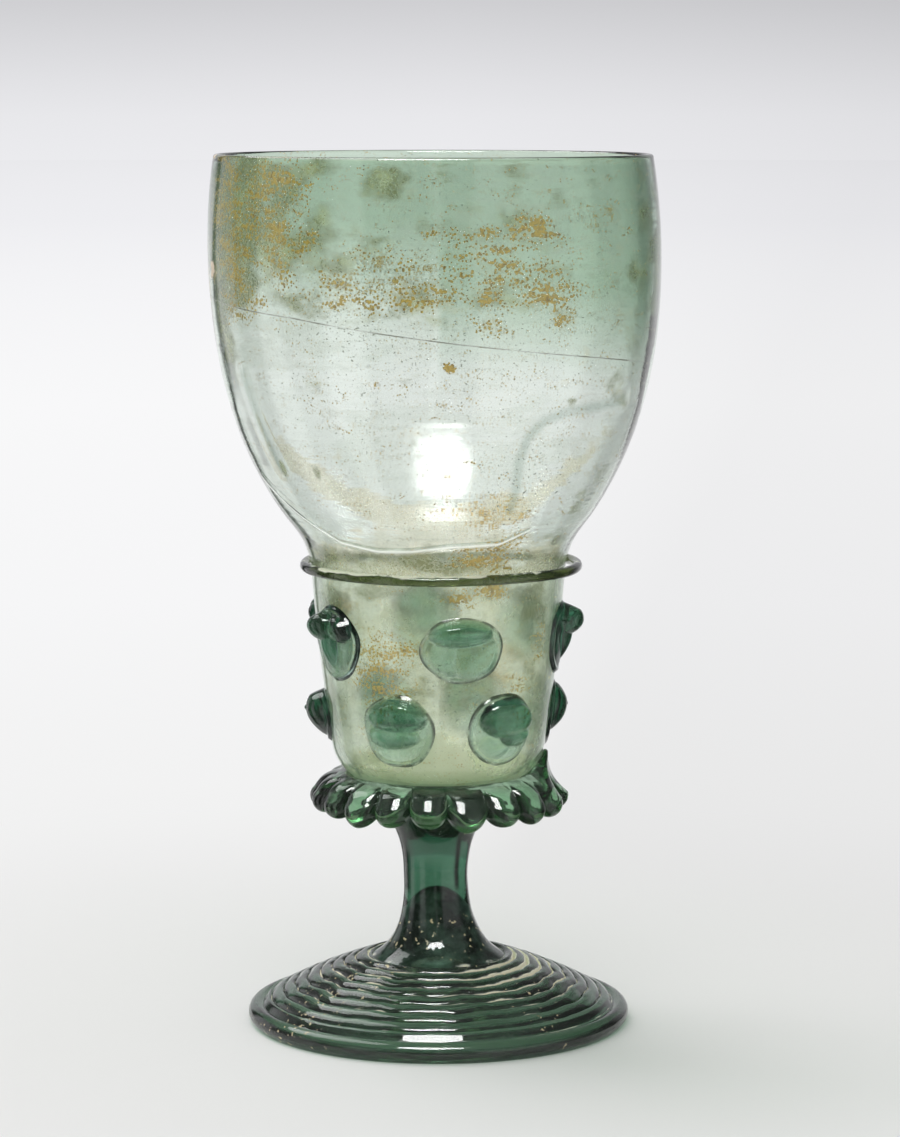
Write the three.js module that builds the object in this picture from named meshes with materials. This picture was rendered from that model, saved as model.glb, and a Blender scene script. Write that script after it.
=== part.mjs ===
// A stemmed wine glass of green forest glass, in millimetres, +Z up, standing on z = 0.
// From the table up it is a spun foot, a waisted stem, a pinched collar, a hollow shaft set with
// two rows of prunts, a thread round the neck, and a blown bowl. Each is a gather of its own.
import * as THREE from 'three';

// Foot: one thread wound outwards from the stem into a shallow cone, clockwise seen from above. Its
// first turn starts beside the stem, at an azimuth a little to the right of the front
const footRadius = 33.1;
const footHeight = 11.4;
const footThreadThickness = 2.0;
const footTurns = 9;
const footStartAzimuth = 25;
const footTurnDepth = 0.8;
const footRimThickness = 3.4;
const footRestWidth = 1.6;
const footCrown = 0.6;

// Stem: waisted, solid at the waist, with the hollow of the foot running up into it
const stemLength = 30.6;
const stemBaseRadius = 11.5;
const stemBaseSlope = 35;
const stemFlareHandle = 1.4;
const stemWaistRadius = 5.5;
const stemWaistRise = 14;
const stemTopRadius = 10.2;
const stemTopFlare = 0.7;
const stemHollowRise = 12.4;
const stemHollowRadius = 4.4;
const stemHollowMouth = 1;
const stemSkirtWall = 0.8;

// Shaft: a hollow cup with a rounded base, widening upwards to the neck
const shaftHeight = 38;
const shaftWall = 1.3;
const shaftBaseRadius = 18.4;
const shaftBaseRounding = 7;
const shaftFloorRadius = 10.5;
const shaftBelly = 0.3;

// Neck: the radius at which bowl and shaft meet, and the thread laid round their joint
const neckRadius = 21.9;
const neckThreadThickness = 1.6;
const neckThreadDrop = 0.3;

// Bowl: a blown cup, widest in its upper half and drawn in a little at the lip
const bowlHeight = 70;
const bowlRadius = 38.6;
const bowlWidestDrop = 16.5;
const bowlNeckSlope = 12.5;
const bowlNeckHandle = 8.5;
const bowlSideHandle = 36;
const bowlWall = 1.2;
const rimRadius = 37.4;

// Prunts: round pads, each drawn out to an upturned nib near its top; one at the front is flatter
const pruntWidth = 13.1;
const pruntHeight = 12.6;
const pruntNibHeight = 3.1;
const flatPruntWidth = 14.6;
const flatPruntHeight = 11.4;
const flatPruntNibHeight = 1.7;
const flatPruntAzimuth = 11;
const pruntPadThickness = 0.9;
const pruntEdgeThickness = 0.45;
const pruntNibRise = 3;
const upperRowDrop = 12.3;
const lowerRowRise = 11.5;
const upperRowAzimuths = [-57, flatPruntAzimuth, 83, 131, 188, 245];
const lowerRowAzimuths = [-92, -21, 34, 104, 160, 214];

// Collar: a thick thread round the base of the shaft, pinched into lobes that hang outwards
const collarLobes = 19;
const collarFirstAzimuth = -5.7;
const collarSeatRise = 3.2;
const collarThreadThickness = 3.6;
const collarLobeLength = 4.8;
const collarLobeThickness = 4.0;
const collarLobeDroop = 60;
const collarWebLength = 1.9;
const collarWebThickness = 2.8;
const collarTailAzimuth = 87;
const collarTailRise = 3.2;
const collarTailWidth = 9;
const collarTailThickness = 1.8;

// Directions from the middle of the foot's rim bead at which its outline has a point, top inner first
const beadAngles = [120, 80, 40, 0, -50];

// Gap left at each fused seam between two gathers
const seamGap = 0.3;

// How far the handles of the stem's curves reach, as shares of the half of the stem they shape
const stemPull = { belowWaist: 0.8, aboveWaist: 0.54, belowTop: 0.39 };

// The handle length at which a curve follows a quarter circle, as a share of its radius
const quarterPull = 0.55;

// Heights of the seams, stacked from the table up
const stemTopHeight = footHeight + stemLength;
const neckHeight = stemTopHeight + shaftHeight;
const rimHeight = neckHeight + bowlHeight;

// Counts of flat faces round and along the curves
const facets = { bowl: 48, shaft: 40, stem: 26, foot: 48, thread: 40, lobe: 5, prunt: 14 };

function glassOf(color, opacity, roughness) {
  return new THREE.MeshStandardMaterial({ color, opacity, roughness, metalness: 0, transparent: true });
}

const paleGlass = glassOf(0xa9bfb0, 0.5, 0.08);
const filmedGlass = glassOf(0xb3bfa2, 0.75, 0.3);
const oliveGlass = glassOf(0x4c5a3c, 0.85, 0.08);
const emeraldGlass = glassOf(0x3c8069, 0.85, 0.08);
const footGlass = glassOf(0x466e5a, 0.9, 0.12);

const radians = THREE.MathUtils.degToRad;
const flat = (radius, height) => new THREE.Vector2(radius, height);

// The point at an azimuth counted from the front, -Y, towards +X
function around(azimuth, radius, height) {
  return new THREE.Vector3(radius * Math.sin(azimuth), -radius * Math.cos(azimuth), height);
}

function named(name, geometry, material) {
  const mesh = new THREE.Mesh(geometry, material);
  mesh.name = name;
  return mesh;
}

// A solid of revolution about Z; the outline runs anticlockwise with the radius to the right
function turned(outline, count) {
  return new THREE.LatheGeometry(outline, count).rotateX(Math.PI / 2);
}

// The outline moved inwards by a wall, square to itself
function offsetInwards(outline, wall) {
  return outline.map((point, index) => {
    const before = outline[Math.max(index - 1, 0)];
    const after = outline[Math.min(index + 1, outline.length - 1)];
    const along = after.clone().sub(before).normalize();
    return flat(point.x - along.y * wall, point.y + along.x * wall);
  });
}

// A closed skin over a grid of points: points that coincide become one, and faces without area go
function skinOf(rows, columns, pointAt) {
  const corners = new Map();
  const positions = [];
  const faces = [];
  const cornerAt = (row, column) => {
    const point = pointAt(row, column);
    const key = point.toArray().map((value) => Math.round(value * 10000)).join();
    if (!corners.has(key)) {
      corners.set(key, corners.size);
      positions.push(...point.toArray());
    }
    return corners.get(key);
  };
  const addFace = (...face) => {
    if (new Set(face).size === 3) faces.push(...face);
  };
  for (let row = 0; row < rows; row += 1) {
    for (let column = 0; column < columns; column += 1) {
      const near = cornerAt(row, column);
      const far = cornerAt(row + 1, column + 1);
      addFace(near, far, cornerAt(row + 1, column));
      addFace(near, cornerAt(row, column + 1), far);
    }
  }
  const geometry = new THREE.BufferGeometry();
  geometry.setAttribute('position', new THREE.Float32BufferAttribute(positions, 3));
  geometry.setIndex(faces);
  geometry.computeVertexNormals();
  return geometry;
}

// The shaft's outside from its floor up: the rounded base, then the wall with a slight belly
function shaftOutline(baseSteps, wallSteps) {
  const floorEdge = flat(shaftFloorRadius, stemTopHeight);
  const wallFoot = flat(shaftBaseRadius, stemTopHeight + shaftBaseRounding);
  const neck = flat(neckRadius, neckHeight);
  const bellyHandle = wallFoot.clone().lerp(neck, 0.5).add(flat(2 * shaftBelly, 0));
  const downWall = wallFoot.clone().sub(bellyHandle).normalize();
  const baseHandle = wallFoot.clone().addScaledVector(downWall, quarterPull * shaftBaseRounding);
  const floorHandle = floorEdge.clone().add(flat(quarterPull * (shaftBaseRadius - shaftFloorRadius), 0));
  const base = new THREE.CubicBezierCurve(floorEdge, floorHandle, baseHandle, wallFoot);
  const wall = new THREE.QuadraticBezierCurve(wallFoot, bellyHandle, neck);
  return [...base.getPoints(baseSteps), ...wall.getPoints(wallSteps).slice(1)];
}

const shaftCurve = shaftOutline(24, 48);

// The shaft's outside at a height: its radius there, and the direction square to it
function shaftAt(height) {
  const last = shaftCurve.length - 2;
  const found = shaftCurve.findIndex((point, index) => index > 0 && point.y >= height) - 1;
  const index = THREE.MathUtils.clamp(found < 0 ? last : found, 0, last);
  const low = shaftCurve[index];
  const along = shaftCurve[index + 1].clone().sub(low);
  const part = (height - low.y) / along.y;
  const square = along.clone().normalize();
  return { radius: low.x + along.x * part, outward: flat(square.y, -square.x) };
}

function makeBowl() {
  const neck = flat(neckRadius, neckHeight);
  const slope = radians(bowlNeckSlope);
  const neckHandle = neck.clone().addScaledVector(flat(Math.sin(slope), Math.cos(slope)), bowlNeckHandle);
  const widest = flat(bowlRadius, rimHeight - bowlWidestDrop);
  const sideHandle = flat(bowlRadius, widest.y - bowlSideHandle);
  const lipRadius = bowlWall / 2;
  const lipFoot = flat(rimRadius, rimHeight - lipRadius);
  const topHandle = flat(bowlRadius, (widest.y + lipFoot.y) / 2);
  const lower = new THREE.CubicBezierCurve(neck, neckHandle, sideHandle, widest).getPoints(8);
  const upper = new THREE.QuadraticBezierCurve(widest, topHandle, lipFoot).getPoints(3).slice(1);
  const outside = [...lower, ...upper];
  const inside = offsetInwards(outside, bowlWall).reverse();
  inside[0] = flat(rimRadius - bowlWall, lipFoot.y);
  inside[inside.length - 1].y = neckHeight;
  const lip = flat(rimRadius - lipRadius, rimHeight);
  return turned([...outside, lip, ...inside, outside[0]], facets.bowl);
}

function makeShaft() {
  const outside = shaftOutline(5, 4);
  const inside = offsetInwards(outside, shaftWall).reverse();
  inside[0].y = neckHeight;
  inside[inside.length - 1].y = stemTopHeight + shaftWall;
  const floorMiddle = flat(0, stemTopHeight);
  const innerMiddle = flat(0, stemTopHeight + shaftWall);
  return turned([floorMiddle, ...outside, ...inside, innerMiddle], facets.shaft);
}

function makeNeckThread() {
  const threadRadius = neckThreadThickness / 2;
  const threadHeight = neckHeight - neckThreadDrop;
  const ring = new THREE.TorusGeometry(neckRadius + seamGap + threadRadius, threadRadius, 8, facets.thread);
  return ring.translate(0, 0, threadHeight);
}

// A prunt on the shaft, its middle at an azimuth and height. Across the pad a point is given by a
// share of the way from the nib to the pad's edge and by its direction from the nib. The nib falls
// off as a round knob above and to the sides, and tapers thin below.
function makePrunt(azimuth, height, size) {
  const frontRings = [0, 0.3, 0.55, 0.85, 1];
  const backRings = [1, 0.5, 0];
  const middleRadius = shaftAt(height).radius;
  const onShaft = (across, up, out) => {
    const radius = shaftAt(height + up).radius + seamGap + out;
    return around(radians(azimuth) + across / middleRadius, radius, height + up);
  };
  const pointAt = (row, column) => {
    const direction = (2 * Math.PI * (row % facets.prunt)) / facets.prunt;
    const front = column < frontRings.length;
    const share = front ? frontRings[column] : backRings[column - frontRings.length];
    const across = (size.width / 2) * share * Math.cos(direction);
    const up = (size.height / 2) * share * Math.sin(direction) + pruntNibRise * (1 - share);
    if (!front) return onShaft(across, up, 0);
    const pad = THREE.MathUtils.lerp(pruntPadThickness, pruntEdgeThickness, share ** 4);
    const knob = Math.sqrt(1 - share ** 2);
    const taper = (1 - share) ** 1.6;
    const upwards = Math.sqrt((1 + Math.sin(direction)) / 2);
    return onShaft(across, up, pad + size.nib * THREE.MathUtils.lerp(taper, knob, upwards));
  };
  return skinOf(facets.prunt, frontRings.length + backRings.length - 1, pointAt);
}

// The collar's section at each step round: a bar with round ends, from its seat on the shaft's
// rounded base to the tip of a lobe. Between lobes the bar is short and thin, and at the tail its
// upper end climbs the wall.
function makeCollar() {
  const steps = collarLobes * facets.lobe;
  const endPoints = 5;
  const lobeAngle = radians(360 / collarLobes);
  const droop = radians(collarLobeDroop);
  const lobeDirection = flat(Math.cos(droop), -Math.sin(droop));
  const seatHeight = stemTopHeight + collarSeatRise;
  const middleOnShaft = (height, radius) => {
    const seat = shaftAt(height);
    return flat(seat.radius, height).addScaledVector(seat.outward, radius + seamGap);
  };
  const hinge = middleOnShaft(seatHeight, collarThreadThickness / 2);
  const sectionAt = (step) => {
    const turn = step / facets.lobe;
    const azimuth = radians(collarFirstAzimuth) + lobeAngle * (turn - 0.5);
    const acrossLobe = 2 * (turn - Math.floor(turn)) - 1;
    const fullness = Math.sqrt(1 - acrossLobe ** 2);
    const length = THREE.MathUtils.lerp(collarWebLength, collarLobeLength, fullness);
    const tipThickness = THREE.MathUtils.lerp(collarWebThickness, collarLobeThickness, fullness);
    const fromTail = azimuth - radians(collarTailAzimuth);
    const nearTail = Math.atan2(Math.sin(fromTail), Math.cos(fromTail)) / radians(collarTailWidth);
    const tail = Math.exp(-(nearTail ** 2));
    const rootRadius = THREE.MathUtils.lerp(collarThreadThickness, collarTailThickness, tail) / 2;
    return {
      azimuth,
      root: middleOnShaft(seatHeight + collarTailRise * tail, rootRadius),
      rootRadius,
      tip: hinge.clone().addScaledVector(lobeDirection, length),
      tipRadius: tipThickness / 2,
    };
  };
  const sections = Array.from({ length: steps }, (empty, step) => sectionAt(step));
  const pointAt = (row, column) => {
    const section = sections[row % steps];
    const corner = column % (2 * endPoints);
    const atRoot = corner >= endPoints;
    const along = section.tip.clone().sub(section.root).angle();
    const start = along + (atRoot ? -Math.PI / 2 : Math.PI / 2);
    const angle = start - (Math.PI * (corner % endPoints)) / (endPoints - 1);
    const middle = atRoot ? section.root : section.tip;
    const radius = atRoot ? section.rootRadius : section.tipRadius;
    return around(section.azimuth, middle.x + radius * Math.cos(angle), middle.y + radius * Math.sin(angle));
  };
  return skinOf(steps, 2 * endPoints, pointAt);
}

function makeStem() {
  const base = flat(stemBaseRadius, footHeight);
  const waist = flat(stemWaistRadius, footHeight + stemWaistRise);
  const top = flat(stemTopRadius, stemTopHeight);
  const slope = radians(stemBaseSlope);
  const upSlope = flat(-Math.cos(slope), Math.sin(slope));
  const baseHandle = base.clone().addScaledVector(upSlope, stemFlareHandle);
  const belowWaist = flat(stemWaistRadius, waist.y - stemPull.belowWaist * stemWaistRise);
  const upperLength = top.y - waist.y;
  const aboveWaist = flat(stemWaistRadius, waist.y + stemPull.aboveWaist * upperLength);
  const belowTop = flat(stemTopRadius - stemTopFlare, top.y - stemPull.belowTop * upperLength);
  const flare = new THREE.CubicBezierCurve(base, baseHandle, belowWaist, waist).getPoints(8);
  const upper = new THREE.CubicBezierCurve(waist, aboveWaist, belowTop, top).getPoints(6).slice(1);
  const skirtFoot = flat(stemBaseRadius, footHeight - footThreadThickness);
  const hollowTop = flat(0, footHeight + stemHollowRise);
  const hollow = new THREE.CubicBezierCurve(
    hollowTop,
    flat(stemHollowRadius, hollowTop.y),
    flat(stemHollowRadius, skirtFoot.y + stemHollowMouth),
    flat(stemBaseRadius - stemSkirtWall, skirtFoot.y),
  ).getPoints(7);
  return turned([...hollow, skirtFoot, ...flare, ...upper, flat(0, stemTopHeight)], facets.stem);
}

// The foot's section at each step round, from its edge beside the stem: the spiral of crests and
// valleys on top, the thick rim bead, the flat that it stands on, and the plain cone underneath.
// Each spiral line moves out as it winds clockwise, and is held at the two edges of the spiral.
function makeFoot() {
  const beadRadius = footRimThickness / 2;
  const beadMiddle = flat(footRadius - beadRadius, beadRadius);
  const onBead = (angle) => beadMiddle.clone()
    .add(flat(Math.cos(radians(angle)), Math.sin(radians(angle))).multiplyScalar(beadRadius));
  const [shoulder, ...bead] = beadAngles.map(onBead);
  const inner = flat(stemBaseRadius + seamGap, footHeight);
  const pitch = (shoulder.x - inner.x) / footTurns;
  const lineCount = 2 * footTurns + 3;
  const crownAt = (share) => flat(0, footCrown * 4 * share * (1 - share));
  const onCone = (from, to, share) => from.clone().lerp(to, share).add(crownAt(share));
  const onSpiral = (line, step) => {
    const turn = line / 2 - step / facets.foot;
    const share = THREE.MathUtils.clamp(turn / footTurns, 0, 1);
    const point = onCone(inner, shoulder, share);
    const nearEdge = 2 * Math.min(point.x - inner.x, shoulder.x - point.x) / pitch;
    if (line % 2 === 0) point.y += footTurnDepth * Math.min(nearEdge, 1);
    return point;
  };
  const rest = [1, -1].map((side) => flat(beadMiddle.x + (side * footRestWidth) / 2, 0));
  const underInner = flat(inner.x, footHeight - footThreadThickness);
  const underOuter = flat(beadMiddle.x - beadRadius, beadRadius);
  const underside = [0, 0.5, 1].map((share) => onCone(underOuter, underInner, share));
  const below = [...bead, ...rest, ...underside, inner];
  const pointAt = (row, column) => {
    const point = column < lineCount ? onSpiral(column, row) : below[column - lineCount];
    const azimuth = radians(footStartAzimuth + (360 * (row % facets.foot)) / facets.foot);
    return around(azimuth, point.x, point.y);
  };
  return skinOf(facets.foot, lineCount + below.length - 1, pointAt);
}

const glass = new THREE.Group();
glass.add(named('spun_foot', makeFoot(), footGlass));
glass.add(named('stem', makeStem(), emeraldGlass));
glass.add(named('pinched_collar', makeCollar(), emeraldGlass));
glass.add(named('prunted_shaft', makeShaft(), filmedGlass));
glass.add(named('neck_thread', makeNeckThread(), oliveGlass));
glass.add(named('bowl', makeBowl(), paleGlass));

const roundPrunt = { width: pruntWidth, height: pruntHeight, nib: pruntNibHeight };
const flatPrunt = { width: flatPruntWidth, height: flatPruntHeight, nib: flatPruntNibHeight };
const pruntRows = [
  { label: 'upper', azimuths: upperRowAzimuths, height: neckHeight - upperRowDrop },
  { label: 'lower', azimuths: lowerRowAzimuths, height: stemTopHeight + lowerRowRise },
];
for (const row of pruntRows) {
  row.azimuths.forEach((azimuth, index) => {
    const size = azimuth === flatPruntAzimuth ? flatPrunt : roundPrunt;
    const geometry = makePrunt(azimuth, row.height, size);
    glass.add(named(`${row.label}_prunt_${index + 1}`, geometry, emeraldGlass));
  });
}

export default glass;
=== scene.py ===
import math
import random
from functools import partial
from types import SimpleNamespace

import bpy
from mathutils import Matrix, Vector, noise


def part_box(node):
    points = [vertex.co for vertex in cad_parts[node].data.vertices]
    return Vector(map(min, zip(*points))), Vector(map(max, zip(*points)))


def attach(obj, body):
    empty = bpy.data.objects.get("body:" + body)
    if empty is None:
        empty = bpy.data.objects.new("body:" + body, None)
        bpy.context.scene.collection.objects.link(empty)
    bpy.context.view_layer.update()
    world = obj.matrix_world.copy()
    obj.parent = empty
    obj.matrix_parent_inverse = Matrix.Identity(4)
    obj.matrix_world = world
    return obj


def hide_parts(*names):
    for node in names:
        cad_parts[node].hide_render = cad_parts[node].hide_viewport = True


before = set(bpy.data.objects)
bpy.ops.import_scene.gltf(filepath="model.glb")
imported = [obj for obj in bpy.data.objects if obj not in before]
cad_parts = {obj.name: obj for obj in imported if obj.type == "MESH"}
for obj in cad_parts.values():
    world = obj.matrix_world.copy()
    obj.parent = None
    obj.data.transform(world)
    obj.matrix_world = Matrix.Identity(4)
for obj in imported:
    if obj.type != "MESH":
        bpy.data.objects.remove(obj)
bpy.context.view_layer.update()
mm = 0.001


def topOf(node):
    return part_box(node)[1].z / mm


def bottomOf(node):
    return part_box(node)[0].z / mm


# Heights of the seams between the gathers, and the gap left at each, so that walls never share a face
stemTop = topOf("stem")
neckHeight = topOf("prunted_shaft")
rimHeight = topOf("bowl")
seam = 0.04
# A distance in millimetres that stands for nowhere near
farOff = 99.0


def hexColour(text):
    # an sRGB hex value as a linear colour
    shares = [int(text[place:place + 2], 16) / 255 for place in (0, 2, 4)]
    linear = [s / 12.92 if s <= 0.04045 else ((s + 0.055) / 1.055) ** 2.4 for s in shares]
    return (*linear, 1.0)


def addNode(tree, kind, links=(), operation=None, **settings):
    # Links are values by the names of the inputs, or in the order of the inputs in use. A value that
    # is a node stands for its first output in use
    node = tree.nodes.new(kind if "Node" in kind else "ShaderNode" + kind)
    if operation:
        node.operation = operation
    for name, value in settings.items():
        setattr(node, name, value)
    inUse = [socket for socket in node.inputs if socket.enabled]
    sockets = {**{socket.name: socket for socket in reversed(inUse)}, **dict(enumerate(inUse))}
    for key, value in (links.items() if isinstance(links, dict) else enumerate(links)):
        if isinstance(value, bpy.types.Node):
            value = next(socket for socket in value.outputs if socket.enabled)
        if isinstance(value, bpy.types.NodeSocket):
            tree.links.new(value, sockets[key])
        else:
            sockets[key].default_value = value
    return node


def clamp(value, low=0.0, high=1.0):
    return min(max(value, low), high)


def mix(a, b, share):
    return a + (b - a) * share


def smooth(value):
    share = clamp(value)
    return share * share * (3 - 2 * share)


def around(azimuth, radius, height):
    # the point in metres at an azimuth in radians, a radius and a height in millimetres
    return Vector((radius * math.sin(azimuth), -radius * math.cos(azimuth), height)) * mm


def bezier(points, steps):
    degree = len(points) - 1
    curve = []
    for step in range(steps + 1):
        t = step / steps
        shares = [math.comb(degree, k) * t ** k * (1 - t) ** (degree - k) for k in range(degree + 1)]
        curve.append(sum((Vector(p) * share for p, share in zip(points, shares)), Vector((0, 0))))
    return curve


def offsetInwards(outline, wall):
    moved = []
    for index, point in enumerate(outline):
        before = outline[max(index - 1, 0)]
        after = outline[min(index + 1, len(outline) - 1)]
        along = (after - before).normalized()
        moved.append(Vector((point.x - along.y * wall, point.y + along.x * wall)))
    return moved


print("stage 1: Geometry Nodes for turned, spun and trailed glass")


def startTree(name, inputs):
    tree = bpy.data.node_groups.new(name, "GeometryNodeTree")
    tree.interface.new_socket("Geometry", in_out="INPUT", socket_type="NodeSocketGeometry")
    tree.interface.new_socket("Geometry", in_out="OUTPUT", socket_type="NodeSocketGeometry")
    for label, kind in inputs.items():
        tree.interface.new_socket(label, in_out="INPUT", socket_type="NodeSocket" + kind)
    return tree, addNode(tree, "NodeGroupInput").outputs


def endTree(tree, shape, given):
    add = partial(addNode, tree)
    merged = add("GeometryNodeMergeByDistance", {"Geometry": shape, "Distance": 0.002 * mm})
    smoothed = add("GeometryNodeSetShadeSmooth", (merged,))
    realised = add("GeometryNodeRealizeInstances", (smoothed,))
    links = {"Geometry": realised, "Material": given["Glass"]}
    add("NodeGroupOutput", (add("GeometryNodeSetMaterial", links),))
    return tree


def addRevolvedGrid(tree, given):
    # A grid with a line of points for each point of the section. It gives the grid, the number of
    # the section's point, and the share of the turn, as fields
    add = partial(addNode, tree)
    size = add("GeometryNodeAttributeDomainSize", (given["Geometry"],))
    rows = add("Math", (given["Segments"], 1.0), "ADD")
    counts = {"Size X": 1.0, "Size Y": 1.0, "Vertices X": size.outputs["Point Count"], "Vertices Y": rows}
    grid = add("GeometryNodeMeshGrid", counts)
    place = add("SeparateXYZ", (add("GeometryNodeInputPosition"),))
    across = add("Math", (place.outputs["X"], 0.5), "ADD")
    last = add("Math", (size.outputs["Point Count"], 1.0), "SUBTRACT")
    number = add("Math", (across, last), "MULTIPLY")
    number = add("Math", (number,), "ROUND")
    turn = add("Math", (place.outputs["Y"], 0.5), "ADD")
    return grid, number, turn


def sampleSection(tree, given, field, number, kind):
    links = {"Geometry": given["Geometry"], "Value": field, "Index": number}
    return addNode(tree, "GeometryNodeSampleIndex", links, data_type=kind)


def addWobble(tree, given, place):
    # Hand-worked glass is never quite round: the wall moves in and out by a slow noise
    add = partial(addNode, tree)
    scale = add("Math", (1.0, given["Wobble Size"]), "DIVIDE")
    cloud = add("TexNoise", {"Vector": place, "Scale": scale, "Detail": 1.0})
    swing = add("Math", (cloud, 0.5), "SUBTRACT")
    swing = add("Math", (swing, given["Wobble"]), "MULTIPLY")
    flat = add("VectorMath", (place, (1.0, 1.0, 0.0)), "MULTIPLY")
    outwards = add("VectorMath", (flat,), "NORMALIZE")
    shift = add("VectorMath", (outwards, swing), "SCALE")
    return add("VectorMath", (place, shift), "ADD")


def makeTurnedTree():
    # A section turned once round the Z axis, with a wobble, leaning over between two heights
    inputs = {"Segments": "Int", "Wobble": "Float", "Wobble Size": "Float", "Lean": "Vector",
              "Lean From": "Float", "Lean To": "Float", "Glass": "Material"}
    tree, given = startTree("turnedGlass", inputs)
    add = partial(addNode, tree)
    grid, number, turn = addRevolvedGrid(tree, given)
    section = sampleSection(tree, given, add("GeometryNodeInputPosition"), number, "FLOAT_VECTOR")
    angle = add("Math", (turn, 2 * math.pi), "MULTIPLY")
    turned = add("VectorRotate", {"Vector": section, "Angle": angle}, rotation_type="Z_AXIS")
    wobbled = addWobble(tree, given, turned)
    height = add("SeparateXYZ", (wobbled,))
    share = add("MapRange", (height.outputs["Z"], given["Lean From"], given["Lean To"]))
    lean = add("VectorMath", (given["Lean"], share), "SCALE")
    place = add("VectorMath", (wobbled, lean), "ADD")
    shape = add("GeometryNodeSetPosition", {"Geometry": grid, "Position": place})
    return endTree(tree, shape, given)


def makeSpunTree():
    # The top of the foot: its lines of points move outwards as the thread winds round, so each crest
    # and valley is one line. The rest of the section is turned plainly
    inputs = {"Segments": "Int", "Turns": "Float", "Start": "Float", "Inner": "Vector", "Outer": "Vector",
              "Crown": "Float", "Depth": "Float", "Wander": "Float", "Glass": "Material"}
    tree, given = startTree("spunGlass", inputs)
    add = partial(addNode, tree)
    grid, number, turn = addRevolvedGrid(tree, given)
    plain = sampleSection(tree, given, add("GeometryNodeInputPosition"), number, "FLOAT_VECTOR")
    readings = {}
    for label in ("threadTurn", "onTop", "crest"):
        named = add("GeometryNodeInputNamedAttribute", {"Name": label}, data_type="FLOAT")
        readings[label] = sampleSection(tree, given, named, number, "FLOAT")
    wound = add("Math", (readings["threadTurn"], turn), "SUBTRACT")
    share = add("Math", (wound, given["Turns"]), "DIVIDE", use_clamp=True)
    # the turns wander a little, most near the stem, by a noise that closes on itself
    start = add("Math", (given["Start"],), "RADIANS")
    angle = add("Math", (turn, 2 * math.pi, start), "MULTIPLY_ADD")
    links = {"Vector": (0.0, -1.0, 0.0), "Angle": angle}
    spoke = add("VectorRotate", links, rotation_type="Z_AXIS")
    reach = add("VectorMath", (spoke, share), "SCALE")
    ring = add("VectorMath", (spoke, reach), "ADD")
    cloud = add("TexNoise", {"Vector": ring, "Scale": 2.2, "Detail": 1.0})
    drift = add("Math", (cloud, 0.5), "SUBTRACT")
    drift = add("Math", (drift, given["Wander"]), "MULTIPLY")
    rest = add("Math", (1.0, share), "SUBTRACT")
    hump = add("Math", (share, rest), "MULTIPLY")
    drift = add("Math", (drift, hump), "MULTIPLY")
    moved = add("Math", (share, drift), "ADD")
    cone = add("Mix", (moved, given["Inner"], given["Outer"]), data_type="VECTOR")
    # the crown and the crests rise above the cone, and die away at its two edges
    crown = add("Math", (hump, given["Crown"]), "MULTIPLY")
    edge = add("MapRange", (hump, 0.0, 0.05))
    rise = add("Math", (readings["crest"], given["Depth"]), "MULTIPLY")
    rise = add("Math", (rise, edge, crown), "MULTIPLY_ADD")
    lift = add("CombineXYZ", {"Z": rise})
    top = add("VectorMath", (cone, lift), "ADD")
    section = add("Mix", (readings["onTop"], plain, top), data_type="VECTOR")
    # the section lies along +X, a quarter turn past the front
    quarter = add("Math", (angle, math.pi / 2), "SUBTRACT")
    place = add("VectorRotate", {"Vector": section, "Angle": quarter}, rotation_type="Z_AXIS")
    # the groove is kept before the points move, because its field reads their places on the grid
    groove = add("Math", (1.0, readings["crest"]), "SUBTRACT")
    groove = add("Math", (groove, readings["onTop"]), "MULTIPLY")
    links = {"Geometry": grid, "Name": "groove", "Value": groove}
    stored = add("GeometryNodeStoreNamedAttribute", links, data_type="FLOAT")
    shape = add("GeometryNodeSetPosition", {"Geometry": stored, "Position": place})
    return endTree(tree, shape, given)


def makeTrailTree():
    # A thread trailed round the neck: a circle swept along a ring whose radius, height and
    # thickness change a little all the way round
    inputs = {"Segments": "Int", "Ring Radius": "Float", "Height": "Float", "Thickness": "Float",
              "Sway": "Float", "Slack": "Vector", "Glass": "Material"}
    tree, given = startTree("trailedThread", inputs)
    add = partial(addNode, tree)
    links = {"Resolution": given["Segments"], "Radius": given["Ring Radius"]}
    ring = add("GeometryNodeCurvePrimitiveCircle", links)
    place = add("GeometryNodeInputPosition")
    turns = add("VectorMath", (place,), "NORMALIZE")
    cloud = add("TexNoise", {"Vector": turns, "Scale": 1.3, "Detail": 0.0})
    centred = add("VectorMath", (cloud.outputs[1], (0.5, 0.5, 0.5)), "SUBTRACT")
    sway = add("VectorMath", (centred, given["Sway"]), "SCALE")
    # where the slack points, the thread stands off the wall
    facing = add("VectorMath", (turns, given["Slack"]), "DOT_PRODUCT")
    loose = add("Math", (facing, 0.0), "MAXIMUM")
    stand = add("VectorMath", (turns, loose), "SCALE")
    shift = add("VectorMath", (sway, stand), "ADD")
    level = add("CombineXYZ", {"Z": given["Height"]})
    offset = add("VectorMath", (shift, level), "ADD")
    path = add("GeometryNodeSetPosition", {"Geometry": ring, "Offset": offset})
    half = add("Math", (given["Thickness"], 0.5), "MULTIPLY")
    profile = add("GeometryNodeCurvePrimitiveCircle", {"Resolution": 20, "Radius": half})
    thick = add("TexNoise", {"Vector": turns, "Scale": 2.6, "Detail": 0.0})
    swell = add("MapRange", (thick, 0.3, 0.7, 0.92, 1.1))
    widened = add("GeometryNodeSetCurveRadius", {"Curve": path, "Radius": swell})
    swept = add("GeometryNodeCurveToMesh", {"Curve": widened, "Profile Curve": profile})
    return endTree(tree, swept, given)


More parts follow.
